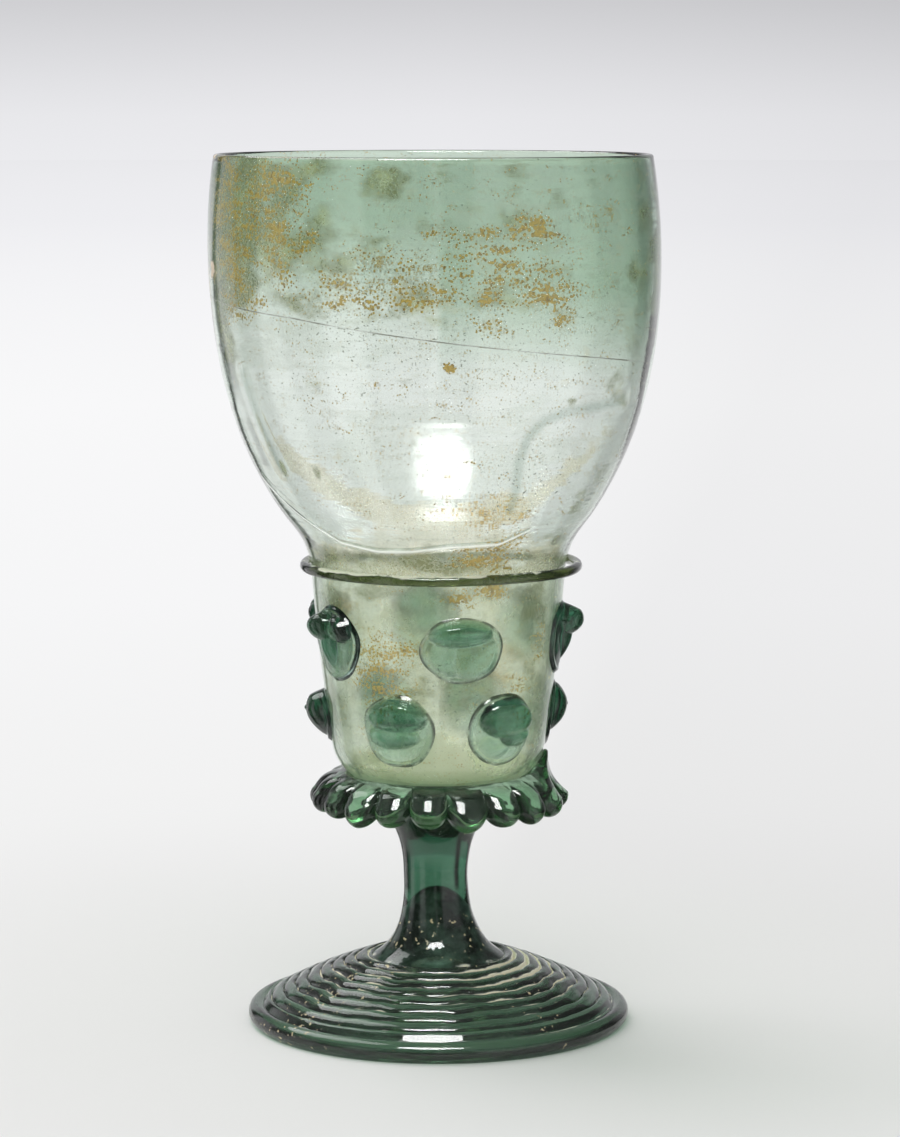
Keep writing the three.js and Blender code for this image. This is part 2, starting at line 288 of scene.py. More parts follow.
def sectionMesh(name, outline, readings=None):
    section = bpy.data.meshes.new(name)
    edges = [(index, index + 1) for index in range(len(outline) - 1)]
    section.from_pydata([Vector((point.x, 0.0, point.y)) * mm for point in outline], edges, [])
    for label, values in (readings or {}).items():
        section.attributes.new(label, "FLOAT", "POINT").data.foreach_set("value", values)
    return section


def grow(name, section, tree, values):
    # Runs a tree on a section and keeps the result as a plain mesh
    source = bpy.data.objects.new(name, section)
    bpy.context.scene.collection.objects.link(source)
    modifier = source.modifiers.new("grow", "NODES")
    modifier.node_group = tree
    sockets = [item for item in tree.interface.items_tree if item.in_out == "INPUT"]
    labels = {socket.name: socket.identifier for socket in sockets}
    for label, value in values.items():
        modifier[labels[label]] = value
    bpy.context.view_layer.update()
    grown = source.evaluated_get(bpy.context.evaluated_depsgraph_get())
    result = bpy.data.meshes.new_from_object(grown)
    source.modifiers.remove(modifier)
    source.data = result
    result.name = name
    closeUp(result)
    return source


def closeUp(mesh):
    # normals outwards, smooth but for true corners, whose blended normals would show as black lines
    if signedVolume(mesh) < 0:
        mesh.flip_normals()
    mesh.set_sharp_from_angle(angle=math.radians(65))


def signedVolume(mesh):
    mesh.calc_loop_triangles()
    total = 0.0
    for triangle in mesh.loop_triangles:
        a, b, c = (mesh.vertices[v].co for v in triangle.vertices)
        total += a.dot(b.cross(c)) / 6
    return total


def skin(name, rows, columns, pointAt, material):
    # A closed skin over a grid of points that is closed both ways, with coincident points merged
    points, numbers, faces = [], {}, []

    def number(row, column):
        point = pointAt(row, column)
        key = tuple(round(value * 1e7) for value in point)
        if key not in numbers:
            numbers[key] = len(points)
            points.append(point)
        return numbers[key]

    grid = [[number(row, column) for column in range(columns + 1)] for row in range(rows + 1)]
    for row in range(rows):
        for column in range(columns):
            corners = [grid[row][column], grid[row][column + 1],
                       grid[row + 1][column + 1], grid[row + 1][column]]
            face = list(dict.fromkeys(corners))
            if len(face) > 2:
                faces.append(face)
    mesh = bpy.data.meshes.new(name)
    mesh.from_pydata(points, [], faces)
    mesh.materials.append(material)
    mesh.shade_smooth()
    closeUp(mesh)
    piece = bpy.data.objects.new(name, mesh)
    bpy.context.scene.collection.objects.link(piece)
    return piece


def stains(patches, place):
    # The strongest of some soft patches: azimuth, height, half width, half height, strength
    strongest = 0.0
    for middle, level, width, tall, strength in patches:
        apart = (place.azimuth - middle + 180) % 360 - 180
        across = math.radians(apart) * place.radius / width
        strongest = max(strongest, strength * (1 - across ** 2 - ((place.height - level) / tall) ** 2))
    return strongest


def paint(piece, rules):
    # A value for each vertex, by the rule for each label: a function of the place, or soft patches.
    # The inner walls are those that face the axis
    places = []
    for number, vertex in enumerate(piece.data.vertices):
        x, y, z = vertex.co / mm
        inner = vertex.normal.x * x + vertex.normal.y * y < 0
        places.append(SimpleNamespace(number=number, x=x, height=z, inner=inner, radius=math.hypot(x, y),
                                      azimuth=math.degrees(math.atan2(x, -y))))
    for label, rule in rules.items():
        valueAt = rule if callable(rule) else partial(stains, rule)
        layer = piece.data.attributes.new(label, "FLOAT", "POINT")
        layer.data.foreach_set("value", [float(valueAt(place)) for place in places])


def besideLine(line, place):
    # Distance to a line of azimuths and heights on a wall
    nearest = farOff
    for (azimuthA, heightA), (azimuthB, heightB) in zip(line, line[1:]):
        a = Vector((math.radians(azimuthA - place.azimuth) * place.radius, heightA - place.height))
        along = Vector((math.radians(azimuthB - azimuthA) * place.radius, heightB - heightA))
        share = clamp(-a.dot(along) / along.length_squared)
        nearest = min(nearest, (a + along * share).length)
    return nearest


def aboveLine(line, place):
    # How far a place lies above a line across the front, far off where the line doesn't run
    for (azimuthA, heightA), (azimuthB, heightB) in zip(line, line[1:]):
        if place.azimuth <= azimuthB:
            break
    share = clamp((place.azimuth - azimuthA) / (azimuthB - azimuthA))
    gap = place.height - mix(heightA, heightB, share)
    missing = place.inner or not line[0][0] <= place.azimuth <= line[-1][0]
    return math.copysign(farOff, gap) if missing else gap


def turned(name, outline, sizes, glass, leanFrom=0.0, leanTo=1.0):
    # A section turned round the Z axis, with a wobble, and a lean that grows between two heights
    return grow(name, sectionMesh(name, outline), turnedTree, {
        "Segments": sizes["segments"], "Wobble": sizes["wobble"] * mm,
        "Wobble Size": sizes["wobbleSize"] * mm, "Lean": (sizes["lean"] * mm, 0.0, 0.0),
        "Lean From": leanFrom * mm, "Lean To": leanTo * mm, "Glass": glass,
    })


def handOver(piece, node):
    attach(piece, "root")
    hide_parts(node)


print("stage 2: glass and weathering")

# Old potash glass, a little below the index of modern soda glass
glassIor = 1.51

# Glass by how it was worked: what a light keeps of its colours on its way through the body, and how
# strongly the rest is taken, per metre; the tint of a lamp's light behind a wall; and how rough the
# bare skin and the thickest film are
bodies = {
    "bowl": {"colour": "c5edcb", "density": 100.0, "shade": "f7f9f7", "skin": 0.025},
    "shaft": {"colour": "c5edcb", "density": 100.0, "shade": "f6f7f5", "skin": 0.02},
    "thread": {"colour": "b1bd7c", "density": 1950.0, "shade": "f3f7ed", "skin": 0.02},
    "prunt": {"colour": "a0d4c2", "density": 930.0, "shade": "fbfcfb", "skin": 0.012},
    "collar": {"colour": "a2d6ad", "density": 400.0, "shade": "fbfcfb", "skin": 0.012},
    "stem": {"colour": "a4cebc", "density": 440.0, "shade": "fbfcfb", "skin": 0.015},
    "foot": {"colour": "aacbb6", "density": 720.0, "shade": "fbfcfb", "skin": 0.02},
}
filmRoughness = 0.4

# The tints of clear and thick glass, and the crust, films and dust, as they look in daylight
# The near-black tone is painted shade, the joint's whitish tone a painted glint, and the thick-glass tone
# also serves as painted shade at the bowl's edges
colours = {
    "clear": "ffffff", "bowlHigh": "d8e5d9", "shaft": "f8fbf5", "thick": "7f978a", "joint": "eef0e6",
    "glint": "f9fff9", "ochre": "e8bd60", "rust": "ad8442", "chip": "ecd9c0", "stone": "b1b490",
    "honey": "d9bd78", "straw": "c4c182", "olive": "7c7a36", "haze": "e8ece4", "cream": "f6eed4",
    "peach": "e6cea2", "milk": "f9faf1", "yellowMilk": "f8f3d3", "silt": "fbf7de", "paintedShadeTone": "171c14",
    "speck": "5d6146", "dust": "6f8474",
}
colour = {name: hexColour(text) for name, text in colours.items()}


def startMaterial(name):
    material = bpy.data.materials.new(name)
    material.use_nodes = True
    material.node_tree.nodes.clear()
    return material, material.node_tree


def painted(tree, label):
    return addNode(tree, "Attribute", attribute_name=label).outputs["Fac"]


def grain(tree, size, detail=4.0, stretch=(1.0, 1.0, 1.0), place=(0.0, 0.0, 0.0), rough=0.5):
    # Cloudy noise on the object, its clouds about size millimetres across
    coords = addNode(tree, "TexCoord").outputs["Object"]
    mapped = addNode(tree, "Mapping", {"Vector": coords, "Location": place, "Scale": stretch})
    links = {"Vector": mapped, "Scale": 1 / (size * mm), "Detail": detail, "Roughness": rough}
    return addNode(tree, "TexNoise", links)


def total(tree, *parts):
    # The sum of some fields, each times its weight
    whole = 0.0
    for field, weight in parts:
        whole = addNode(tree, "Math", (field, weight, whole), "MULTIPLY_ADD")
    return whole


def risen(tree, low, high, *parts):
    # How far such a sum has risen from low to high, with soft ends
    whole = total(tree, *parts)
    return addNode(tree, "MapRange", (whole, low, high), interpolation_type="SMOOTHSTEP")


def seamLine(tree, label, low, high):
    # 1 along a painted line and 0 away from it, from the distance to it in millimetres
    gap = addNode(tree, "Math", (painted(tree, label),), "ABSOLUTE")
    return addNode(tree, "MapRange", (gap, low, high, 1.0, 0.0), interpolation_type="SMOOTHSTEP")


def softFilm(tree, label, size, start, stretch=(1.0, 1.0, 1.5)):
    # A ragged film with a faint sandy grain, where it is painted
    patches = grain(tree, size, 6.0, stretch, start)
    film = risen(tree, 0.64, 0.86, (patches, 1.0), (painted(tree, label), 0.4))
    sand = addNode(tree, "MapRange", (grain(tree, 0.5, 2.0, place=start), 0.3, 0.7, 0.65, 1.0))
    return addNode(tree, "Math", (film, sand), "MULTIPLY")


def fineSpecks(tree):
    cloud = grain(tree, 0.5, 1.0, stretch=(1.0, 1.0, 1.3), place=(7.0, 7.0, 1.0))
    return risen(tree, 0.76, 0.80, (cloud, 1.0), (painted(tree, "specks"), 0.12))


def crustGrains(tree, size, start):
    # Fine ochre grains crowded into level streaks, each in a honey halo, where crust is painted
    coords = addNode(tree, "TexCoord").outputs["Object"]
    fromGrain = addNode(tree, "TexVoronoi", {"Vector": coords, "Scale": 1 / (size * mm)})
    streaks = grain(tree, 4.5, 6.0, stretch=(1.0, 1.0, 3.2), place=start)
    level = total(tree, (fromGrain, -0.64), (streaks, 0.85), (painted(tree, "crust"), 0.38))
    return risen(tree, 0.40, 0.44, (level, 1.0)), risen(tree, 0.24, 0.42, (level, 1.0))


def crustTone(tree):
    tone = risen(tree, 0.3, 0.52, (grain(tree, 0.7, 2.0, place=(5.0, 2.0, 7.0)), 1.0))
    return addNode(tree, "Mix", (tone, colour["rust"], colour["ochre"]), data_type="RGBA")


def layFilms(tree, state, where, films):
    # Films laid over what is there. Each has its cover, the most of it that lies anywhere, its colour,
    # and how much of it no light passes. The state is the colour, the share that no light passes, and
    # the share that blurs what is seen through it
    add = partial(addNode, tree)
    base, closed, blurred = state
    for cover, share, tint, solid in films:
        cover = add("Math", (cover, where), "MULTIPLY")
        cover = add("Math", (cover, share), "MULTIPLY")
        base = add("Mix", (cover, base, tint), data_type="RGBA")
        shut = add("Math", (cover, solid), "MULTIPLY")
        closed = add("Math", (closed, shut), "MAXIMUM")
        blurred = add("Math", (blurred, cover), "MAXIMUM")
    return base, closed, blurred


def finish(tree, kind, state, bumps, bumpDepth, bumpStrength, glint=0.0):
    # Glass where nothing is closed, and an opaque crust where all is. A thin film hardly blurs what is
    # seen through it, a thick one is dull. Rays from lamps, and between dull surfaces, go straight
    # through the glass, in its shade. The glint is a painted glow, standing in for the light that a
    # fracture throws back
    add = partial(addNode, tree)
    base, closed, blurred = state
    body = bodies[kind]
    normal = add("Bump", {"Height": bumps, "Distance": bumpDepth * mm, "Strength": bumpStrength})
    blur = add("Math", (blurred, 1.4), "POWER")
    roughness = add("MapRange", (blur, 0.0, 1.0, body["skin"], filmRoughness))
    bare = add("Math", (1.0, closed), "SUBTRACT", use_clamp=True)
    seen = add("BsdfPrincipled", {
        "Base Color": base, "Roughness": roughness, "IOR": glassIor, "Transmission Weight": bare,
        "Normal": normal, "Emission Color": colour["glint"], "Emission Strength": glint,
    })
    ray = add("LightPath").outputs
    passing = add("Math", (ray["Is Shadow Ray"], ray["Is Diffuse Ray"]), "MAXIMUM")
    passing = add("Math", (passing, bare), "MULTIPLY")
    clear = add("BsdfTransparent", {"Color": hexColour(body["shade"])})
    surface = add("MixShader", (passing, seen, clear))
    links = {"Color": hexColour(body["colour"]), "Density": body["density"]}
    inside = add("VolumeAbsorption", links)
    add("OutputMaterial", {"Surface": surface, "Volume": inside})


def bowlGlass():
    # Pale green potash glass, blown: clear and glossy, deeper in the upper half, with burial crust
    material, tree = startMaterial("pale_forest_glass")
    add = partial(addNode, tree)
    # a wall is greener high up; where it is seen aslant, at its edges, painted shade darkens it towards the
    # thick-glass tone, most high up
    clouds = grain(tree, 30.0, 3.0, stretch=(1.0, 1.0, 2.0))
    depth = total(tree, (painted(tree, "depth"), 1.0), (clouds, 0.5))
    depth = add("MapRange", (depth, 0.25, 1.2))
    facing = add("LayerWeight", {"Blend": 0.5}).outputs["Facing"]
    paintedEdgeShade = risen(tree, 0.35, 0.85, (facing, 1.0))
    edgeShadeAmount = add("MapRange", (depth, 0.0, 1.0, 0.12, 0.67))
    paintedEdgeShade = add("Math", (paintedEdgeShade, edgeShadeAmount), "MULTIPLY")
    wall = add("Mix", (depth, colour["clear"], colour["bowlHigh"]), data_type="RGBA")
    wall = add("Mix", (paintedEdgeShade, wall, colour["thick"]), data_type="RGBA")
    # films and crust on the inner wall
    streaks = grain(tree, 12.0, stretch=(1.0, 1.0, 8.0), place=(1.0, 5.0, 4.0))
    streaks = risen(tree, 0.48, 0.72, (streaks, 1.0))
    haze = total(tree, (softFilm(tree, "haze", 9.0, (8.0, 3.0, 6.0), (1.0, 1.0, 3.0)), 3.0))
    haze = add("Math", (haze, streaks), "MAXIMUM")
    mottle = grain(tree, 3.0, 3.0, place=(4.0, 4.0, 2.0))
    dregs = add("Mix", (mottle, colour["cream"], colour["peach"]), data_type="RGBA")
    mottle = risen(tree, 0.34, 0.5, (grain(tree, 5.0, 3.0, place=(6.0, 2.0, 8.0)), 1.0))
    oily = add("Mix", (mottle, colour["straw"], colour["olive"]), data_type="RGBA")
    crust, halo = crustGrains(tree, 0.55, (0.0, 0.0, 0.0))
    state = layFilms(tree, (wall, 0.0, 0.0), painted(tree, "inside"), [
        (haze, 0.2, colour["haze"], 0.25),
        (softFilm(tree, "sediment", 5.0, (2.0, 6.0, 3.0)), 0.9, dregs, 0.12),
        (softFilm(tree, "film", 8.0, (3.0, 1.0, 2.0)), 0.92, oily, 0.4),
        (softFilm(tree, "crust", 4.0, (1.0, 7.0, 3.0)), 0.2, colour["honey"], 0.5),
        (halo, 0.45, colour["honey"], 0.4),
        (crust, 0.92, crustTone(tree), 1.0),
        (fineSpecks(tree), 0.7, colour["speck"], 1.0),
    ])
    # chips, and the edges along which the broken bowl was put together again, with a painted glint in
    # whitish along the mended joint
    chips = risen(tree, 1.0, 1.12, (painted(tree, "chips"), 1.0), (grain(tree, 1.2, 5.0), 1.2))
    fades = add("MapRange", (grain(tree, 6.0, 2.0), 0.4, 0.6, 0.25, 0.85))
    joint = seamLine(tree, "joint", 0.05, 0.4)
    state = layFilms(tree, state, 1.0, [
        (chips, 1.0, colour["chip"], 1.0),
        (seamLine(tree, "crack", 0.03, 0.16), fades, colour["speck"], 1.0),
        (joint, 0.6, colour["joint"], 1.0),
    ])
    # along the swellings the wall takes the thick-glass tone, for the thicker glass and as a painted shade
    # line
    swelling = total(tree, (seamLine(tree, "swelling", 0.1, 1.6), 0.6))
    base = add("Mix", (swelling, state[0], colour["thick"]), data_type="RGBA")
    # the raised crust, level tooling marks, a slow swirl, and the joint that stands out like a thread
    tooling = grain(tree, 22.0, 2.0, stretch=(1.0, 1.0, 9.0), place=(2.0, 9.0, 5.0))
    swirl = grain(tree, 16.0, 1.0, stretch=(1.0, 1.0, 0.7), place=(5.0, 5.0, 5.0))
    bumps = total(tree, (crust, 0.6), (tooling, 0.9), (swirl, 6.0), (seamLine(tree, "joint", 0.0, 0.7), 1.0),
                  (seamLine(tree, "swelling", 0.2, 3.0), 1.2))
    # the mended joint also glows a little: a painted glint
    finish(tree, "bowl", (base, *state[1:]), bumps, 0.12, 0.8, total(tree, (joint, 0.3)))
    return material


def shaftGlass():
    # The same glass, clouded inside by a whitish film that lets light through but no clear view
    material, tree = startMaterial("clouded_forest_glass")
    milk = grain(tree, 4.0, 8.0, place=(4.0, 4.0, 4.0), rough=0.68)
    milk = addNode(tree, "MapRange", (milk, 0.35, 0.65, 0.45, 0.95))
    cloud = grain(tree, 5.0, 8.0, place=(7.0, 1.0, 5.0), rough=0.65)
    yellow = risen(tree, 0.5, 0.75, (cloud, 1.0), (painted(tree, "film"), 0.35))
    milky = addNode(tree, "Mix", (yellow, colour["milk"], colour["yellowMilk"]), data_type="RGBA")
    milkSolid = total(tree, (painted(tree, "behind"), 0.33), (1.0, 0.1))
    blotches = risen(tree, 0.48, 0.6, (grain(tree, 1.9, 8.0, place=(3.0, 8.0, 1.0), rough=0.72), 1.0))
    streaky = risen(tree, 0.5, 0.62, (grain(tree, 1.7, 8.0, place=(5.0, 3.0, 9.0), rough=0.72), 1.0))
    silt = risen(tree, 0.8, 1.15, (painted(tree, "silt"), 1.0), (grain(tree, 3.0, 5.0), 1.0))
    crust, halo = crustGrains(tree, 0.42, (2.0, 2.0, 5.0))
    state = layFilms(tree, (colour["shaft"], 0.0, 0.0), painted(tree, "inside"), [
        (milk, 1.0, milky, milkSolid),
        (blotches, 0.4, colour["stone"], 0.4),
        (streaky, 0.45, colour["silt"], 0.5),
        (silt, 1.0, colour["silt"], 0.75),
        (softFilm(tree, "olive", 6.0, (3.0, 1.0, 2.0)), 0.8, colour["olive"], 0.5),
        (halo, 0.65, colour["honey"], 0.5),
        (crust, 0.9, crustTone(tree), 1.0),
        (fineSpecks(tree), 0.7, colour["speck"], 1.0),
    ])
    bumps = total(tree, (grain(tree, 5.0, 2.0), 1.0), (grain(tree, 1.0, 2.0), 0.1))
    finish(tree, "shaft", state, bumps, 0.15, 0.5)
    return material


def drawnGlass(name, kind, start, dustiness=0.03, bumpSize=4.0, bumpiness=0.35, more=None):
    # Strong green forest glass, drawn hot: a fire-bright skin that years in the ground left slightly
    # dusty, and a colour that comes from the thickness of the body. Honey flecks, painted shade in a
    # near-black tone, and cream dregs lie where they are painted, and more films can be laid over them
    material, tree = startMaterial(name)
    hazy = grain(tree, 9.0, 3.0, place=start)
    hazy = addNode(tree, "MapRange", (hazy, 0.3, 0.7, dustiness * 0.6, dustiness))
    flecks = grain(tree, 0.9, 3.0, place=start)
    flecks = risen(tree, 0.76, 0.80, (flecks, 1.0), (painted(tree, "flecks"), 0.14))
    state = layFilms(tree, (colour["clear"], 0.0, 0.0), 1.0, [
        (hazy, 1.0, colour["dust"], 1.0),
        (flecks, 0.8, colour["honey"], 1.0),
    ])
    # painted shade: a near-black tone laid in patches where it is painted, in creases, seams and at the
    # sides
    patches = risen(tree, 0.35, 0.55, (grain(tree, 3.0, place=start), 1.0))
    paintedShade = addNode(tree, "Math", (painted(tree, "paintedShade"), patches), "MULTIPLY")
    paintedShade = total(tree, (paintedShade, 0.8))
    state = addNode(tree, "Mix", (paintedShade, state[0], colour["paintedShadeTone"]), data_type="RGBA"), *state[1:]
    dregs = risen(tree, 0.95, 1.1, (painted(tree, "dregs"), 1.0), (grain(tree, 4.0, 6.0, place=start), 0.9))
    state = layFilms(tree, state, 1.0, [(dregs, 0.95, colour["cream"], 0.95)])
    if more:
        state = layFilms(tree, state, 1.0, more(tree))
    finish(tree, kind, state, grain(tree, bumpSize, 2.0), 0.2, bumpiness)
    return material


def hollowShade(tree):
    # painted shade on the walls of the hollow, in a near-black tone
    patches = addNode(tree, "MapRange", (grain(tree, 3.0, place=(9.0, 1.0, 1.0)), 0.3, 0.6, 0.8, 1.0))
    return [(painted(tree, "hollow"), patches, colour["paintedShadeTone"], 1.0)]


def topDustAndSheen(tree):
    # cream along the top of the thread: dust, and a painted highlight
    dust = risen(tree, 0.7, 0.82, (grain(tree, 4.0), 1.0), (painted(tree, "dust"), 0.42))
    return [(dust, 0.75, colour["cream"], 1.0)]


turnedTree = makeTurnedTree()
spunTree = makeSpunTree()
trailTree = makeTrailTree()

print("stage 3: bowl")

bowlSizes = {
    "neckRadius": 21.9, "neckSlope": 12.5, "neckHandle": 8.5, "neckTuck": 0.45,
    "radius": 38.6, "widestDrop": 16.5, "sideHandle": 36, "rimRadius": 37.4, "wall": 1.2,
    "segments": 240, "wobble": 0.45, "wobbleSize": 45, "lean": -0.8,
}

# Azimuth, height, half width, half height and strength of each patch
bowlCrust = [
    (-70, 141, 7, 8, 0.85), (-59, 131, 4, 5, 0.95), (-72, 149.5, 5, 1.5, 1.0), (-52, 143.5, 7, 5, 0.75),
    (-44, 146, 6, 3.5, 0.8), (-38, 142, 4, 7, 0.7), (4, 137.7, 7, 1.8, 0.7), (12.7, 138, 6, 1.8, 0.75),
    (24, 138, 7, 3.6, 0.95), (13.6, 134.5, 6, 2.2, 0.8), (14, 131, 3.5, 2.4, 0.85),
    (25, 131.5, 9, 2.6, 0.85),
    (-9, 127, 10, 2.4, 0.85), (13, 128, 4, 2, 0.9), (28, 128, 10, 2.6, 0.9), (33, 124.5, 4, 3.5, 0.9),
    (13.6, 123, 4, 2, 0.85), (-25, 127, 4, 2.2, 0.8), (-42, 129.7, 2.5, 2.5, 0.8), (-49, 126.6, 2.5, 2, 0.7),
    (-27, 130.3, 6, 1.8, 0.7), (3.2, 116.1, 0.9, 0.8, 2.2), (-12, 134, 16, 2.5, 0.5), (-58, 125, 8, 4, 0.6),
    (-90, 130, 7, 12, 0.9), (130, 138, 12, 4, 0.3), (200, 128, 14, 5, 0.6), (165, 87, 10, 3, 0.55),
    (16, 84, 5, 3, 0.8), (30, 86, 5, 3, 0.6), (150, 86, 9, 4, 0.8), (-64, 146, 8, 5, 0.8),
    (-66, 134, 7, 7, 0.75), (-61, 139, 12, 12, 0.85), (-46, 146, 12, 4, 0.9), (-45, 137, 6, 9, 0.85),
    (-38, 136, 8, 5, 0.6), (24, 139, 5, 3, 1.1), (22, 83, 8, 3, 1.0), (-8, 128, 22, 3, 0.65),
    (12, 131, 12, 9, 0.45), (-60, 127, 9, 3, 0.8),
]
bowlFilm = [
    (-33, 148, 10, 2.5, 0.9), (-14, 146, 8, 4, 0.9), (-50, 142, 14, 9, 0.8), (10, 129, 30, 10, 0.6),
    (-62, 134, 12, 16, 1.5), (-40, 126, 12, 6, 0.6), (-52, 146, 18, 6, 1.1), (0, 84, 60, 4, 0.6),
    (60, 118, 8, 12, 0.5), (160, 140, 30, 10, 0.5), (39, 110, 2, 1.4, 1.2), (-55, 98.5, 1.4, 2.5, 1.2),
    (-40, 98, 1.5, 2, 1.1), (-85, 138, 12, 14, 0.9), (75, 135, 14, 18, 0.8), (100, 92, 10, 8, 0.6),
    (-70, 120, 8, 14, 0.8), (-30, 136, 14, 10, 0.7), (8, 83, 30, 3, 0.9), (-68, 140, 14, 14, 1.6),
    (-46, 138, 12, 12, 0.9),
]
bowlHaze = [
    (-50, 120, 22, 9, 0.9), (-20, 121, 20, 5, 0.6), (20, 140, 40, 12, 0.45), (40, 105, 16, 10, 0.5),
    (0, 86, 50, 6, 0.7), (180, 120, 80, 26, 0.35), (180, 95, 30, 15, 1.2),
]
bowlSpecks = [
    (-21, 121.5, 18, 6, 1.0), (29, 97, 12, 12, 0.9), (0, 120, 60, 26, 0.5), (180, 110, 60, 40, 0.5),
]
# Bare broken glass at the left edge, whitish with weathering
bowlChips = [(-75, 130.5, 2.6, 2.8, 0.7), (-80, 149.6, 3, 1, 0.6)]
# Azimuths and heights along the edges where the bowl was broken and mended, and along thick places
bowlCrack = [(-88, 126.5), (-38, 123.9), (-16, 121.9), (6, 120.0), (27, 118.4), (71, 115.4)]
bowlJoint = [(-78, 97), (-74, 95.2), (-61, 90.8), (-52, 88.0), (-42, 85.6), (-25, 84.5), (-11, 84.7),
             (4, 85.5), (25, 85.8), (36, 88)]
bowlSwellings = [
    [(25, 92), (25, 95.5), (24, 100.3), (25.6, 104.5), (29.8, 107.1), (36.5, 108.4), (46.5, 108.9),
     (60, 109.6)],
    [(-61, 114), (-59, 108), (-57, 103), (-55, 98)],
]


def makeBowl(sizes):
    neck = Vector((sizes["neckRadius"], neckHeight))
    slope = math.radians(sizes["neckSlope"])
    neckHandle = neck + Vector((math.sin(slope), math.cos(slope))) * sizes["neckHandle"]
    widest = Vector((sizes["radius"], rimHeight - sizes["widestDrop"]))
    sideHandle = widest - Vector((0, sizes["sideHandle"]))
    lipRadius = sizes["wall"] / 2
    lipFoot = Vector((sizes["rimRadius"], rimHeight - lipRadius))
    topHandle = Vector((sizes["radius"], (widest.y + lipFoot.y) / 2))
    lower = bezier([neck, neckHandle, sideHandle, widest], 64)
    for point in lower:
        point.x -= sizes["neckTuck"] * math.exp(-(((point.y - neckHeight - 5) / 3) ** 2))
    outside = lower + bezier([widest, topHandle, lipFoot], 18)[1:]
    inside = offsetInwards(outside, sizes["wall"])[::-1]
    inside[-1].y = neckHeight
    lip = []
    for stage in range(1, 9):
        turn = math.pi * stage / 9
        lip.append(Vector((sizes["rimRadius"] - lipRadius * (1 - math.cos(turn)),
                           lipFoot.y + lipRadius * math.sin(turn))))
    outline = [*outside, *lip, *inside, outside[0]]
    bowl = turned("bowl_glass", outline, sizes, bowlGlass(), neckHeight, rimHeight)

    def sedimentAt(place):
        # the dregs lie in the bottom, and climb the back wall as a band
        fromBack = (place.azimuth + 360) % 360 - 180
        band = 1 - abs(place.height - 84 - 0.0031 * fromBack ** 2) / 6
        fades = smooth((100 - abs(fromBack)) / 40) * mix(0.6, 1.0, smooth((fromBack + 50) / 60))
        return place.inner * max(1.45 * smooth(band) * fades, 1.1 * smooth((86 - place.height) / 5))

    def depthAt(place):
        # the wall's tint grows deeper upwards from a line just above the mended crack, which falls from left
        # to right
        return smooth((place.height - 112 + 0.07 * clamp(place.azimuth, -90, 90)) / 24)

    def swellingAt(place):
        return farOff if place.inner else min(besideLine(line, place) for line in bowlSwellings)

    paint(bowl, {
        "crust": bowlCrust, "film": bowlFilm, "haze": bowlHaze, "specks": bowlSpecks, "chips": bowlChips,
        "crack": partial(aboveLine, bowlCrack), "joint": partial(aboveLine, bowlJoint),
        "swelling": swellingAt, "inside": lambda place: place.inner, "sediment": sedimentAt,
        "depth": depthAt,
    })
    handOver(bowl, "bowl")


makeBowl(bowlSizes)

print("stage 4: shaft, neck thread, stem")

shaftSizes = {
    "baseRadius": 18.4, "rounding": 7, "floorRadius": 10.5, "belly": 0.3, "wall": 1.3,
    "segments": 160, "wobble": 0.35, "wobbleSize": 22, "lean": 0.0,
}
shaftCrust = [
    (-28, 65, 6, 6, 0.95), (-22, 68, 5, 3, 0.8), (-33, 60, 4, 5, 0.5), (26, 77.5, 4.5, 2.5, 1.0),
    (10, 76.5, 4, 2.5, 0.85), (57, 68, 3, 4, 0.6), (150, 60, 8, 8, 0.7), (240, 70, 6, 5, 0.7),
    (-30, 63, 8, 9, 0.75), (27, 77.5, 3, 2, 1.4), (45, 60, 4, 8, 0.55),
]
shaftFilm = [(4, 49, 12, 6, 1.0), (-30, 48, 10, 4, 0.7), (60, 60, 6, 14, 0.5), (180, 60, 30, 14, 0.5),
             (-10, 72, 30, 6, 0.5)]
shaftOlive = [
    (-59, 75, 8, 6, 1.0), (-35, 78, 16, 3, 0.7), (20, 78, 20, 2.5, 0.7), (-72, 62, 4, 16, 0.9),
    (50, 75, 6, 6, 0.9), (56, 66, 4, 9, 0.7), (-60, 56, 5, 6, 0.6), (20, 60, 7, 5, 0.55),
    (-4, 61, 6, 4, 0.5),
]
shaftSpecks = [(0, 60, 60, 20, 0.6)]
shaftSilt = [(3, 47, 7, 9, 0.9), (0, 44, 40, 5, 0.8), (90, 44, 40, 4, 0.7), (-90, 44, 40, 4, 0.7)]


def shaftOutline(sizes, baseSteps, wallSteps):
    floorEdge = Vector((sizes["floorRadius"], stemTop + seam))
    wallFoot = Vector((sizes["baseRadius"], stemTop + sizes["rounding"]))
    neck = Vector((bowlSizes["neckRadius"], neckHeight - seam))
    bellyHandle = (wallFoot + neck) / 2 + Vector((2 * sizes["belly"], 0))
    downWall = (wallFoot - bellyHandle).normalized()
    baseHandle = wallFoot + downWall * 0.55 * sizes["rounding"]
    floorHandle = floorEdge + Vector((0.55 * (sizes["baseRadius"] - sizes["floorRadius"]), 0))
    base = bezier([floorEdge, floorHandle, baseHandle, wallFoot], baseSteps)
    return base + bezier([wallFoot, bellyHandle, neck], wallSteps)[1:]


shaftCurve = shaftOutline(shaftSizes, 24, 48)


def shaftAt(height):
    # The shaft's outside at a height: its radius there, and the direction square to it
    for low, high in zip(shaftCurve, shaftCurve[1:]):
        if high.y >= height:
            break
    along = high - low
    square = along.normalized()
    return low.x + along.x * (height - low.y) / along.y, Vector((square.y, -square.x))


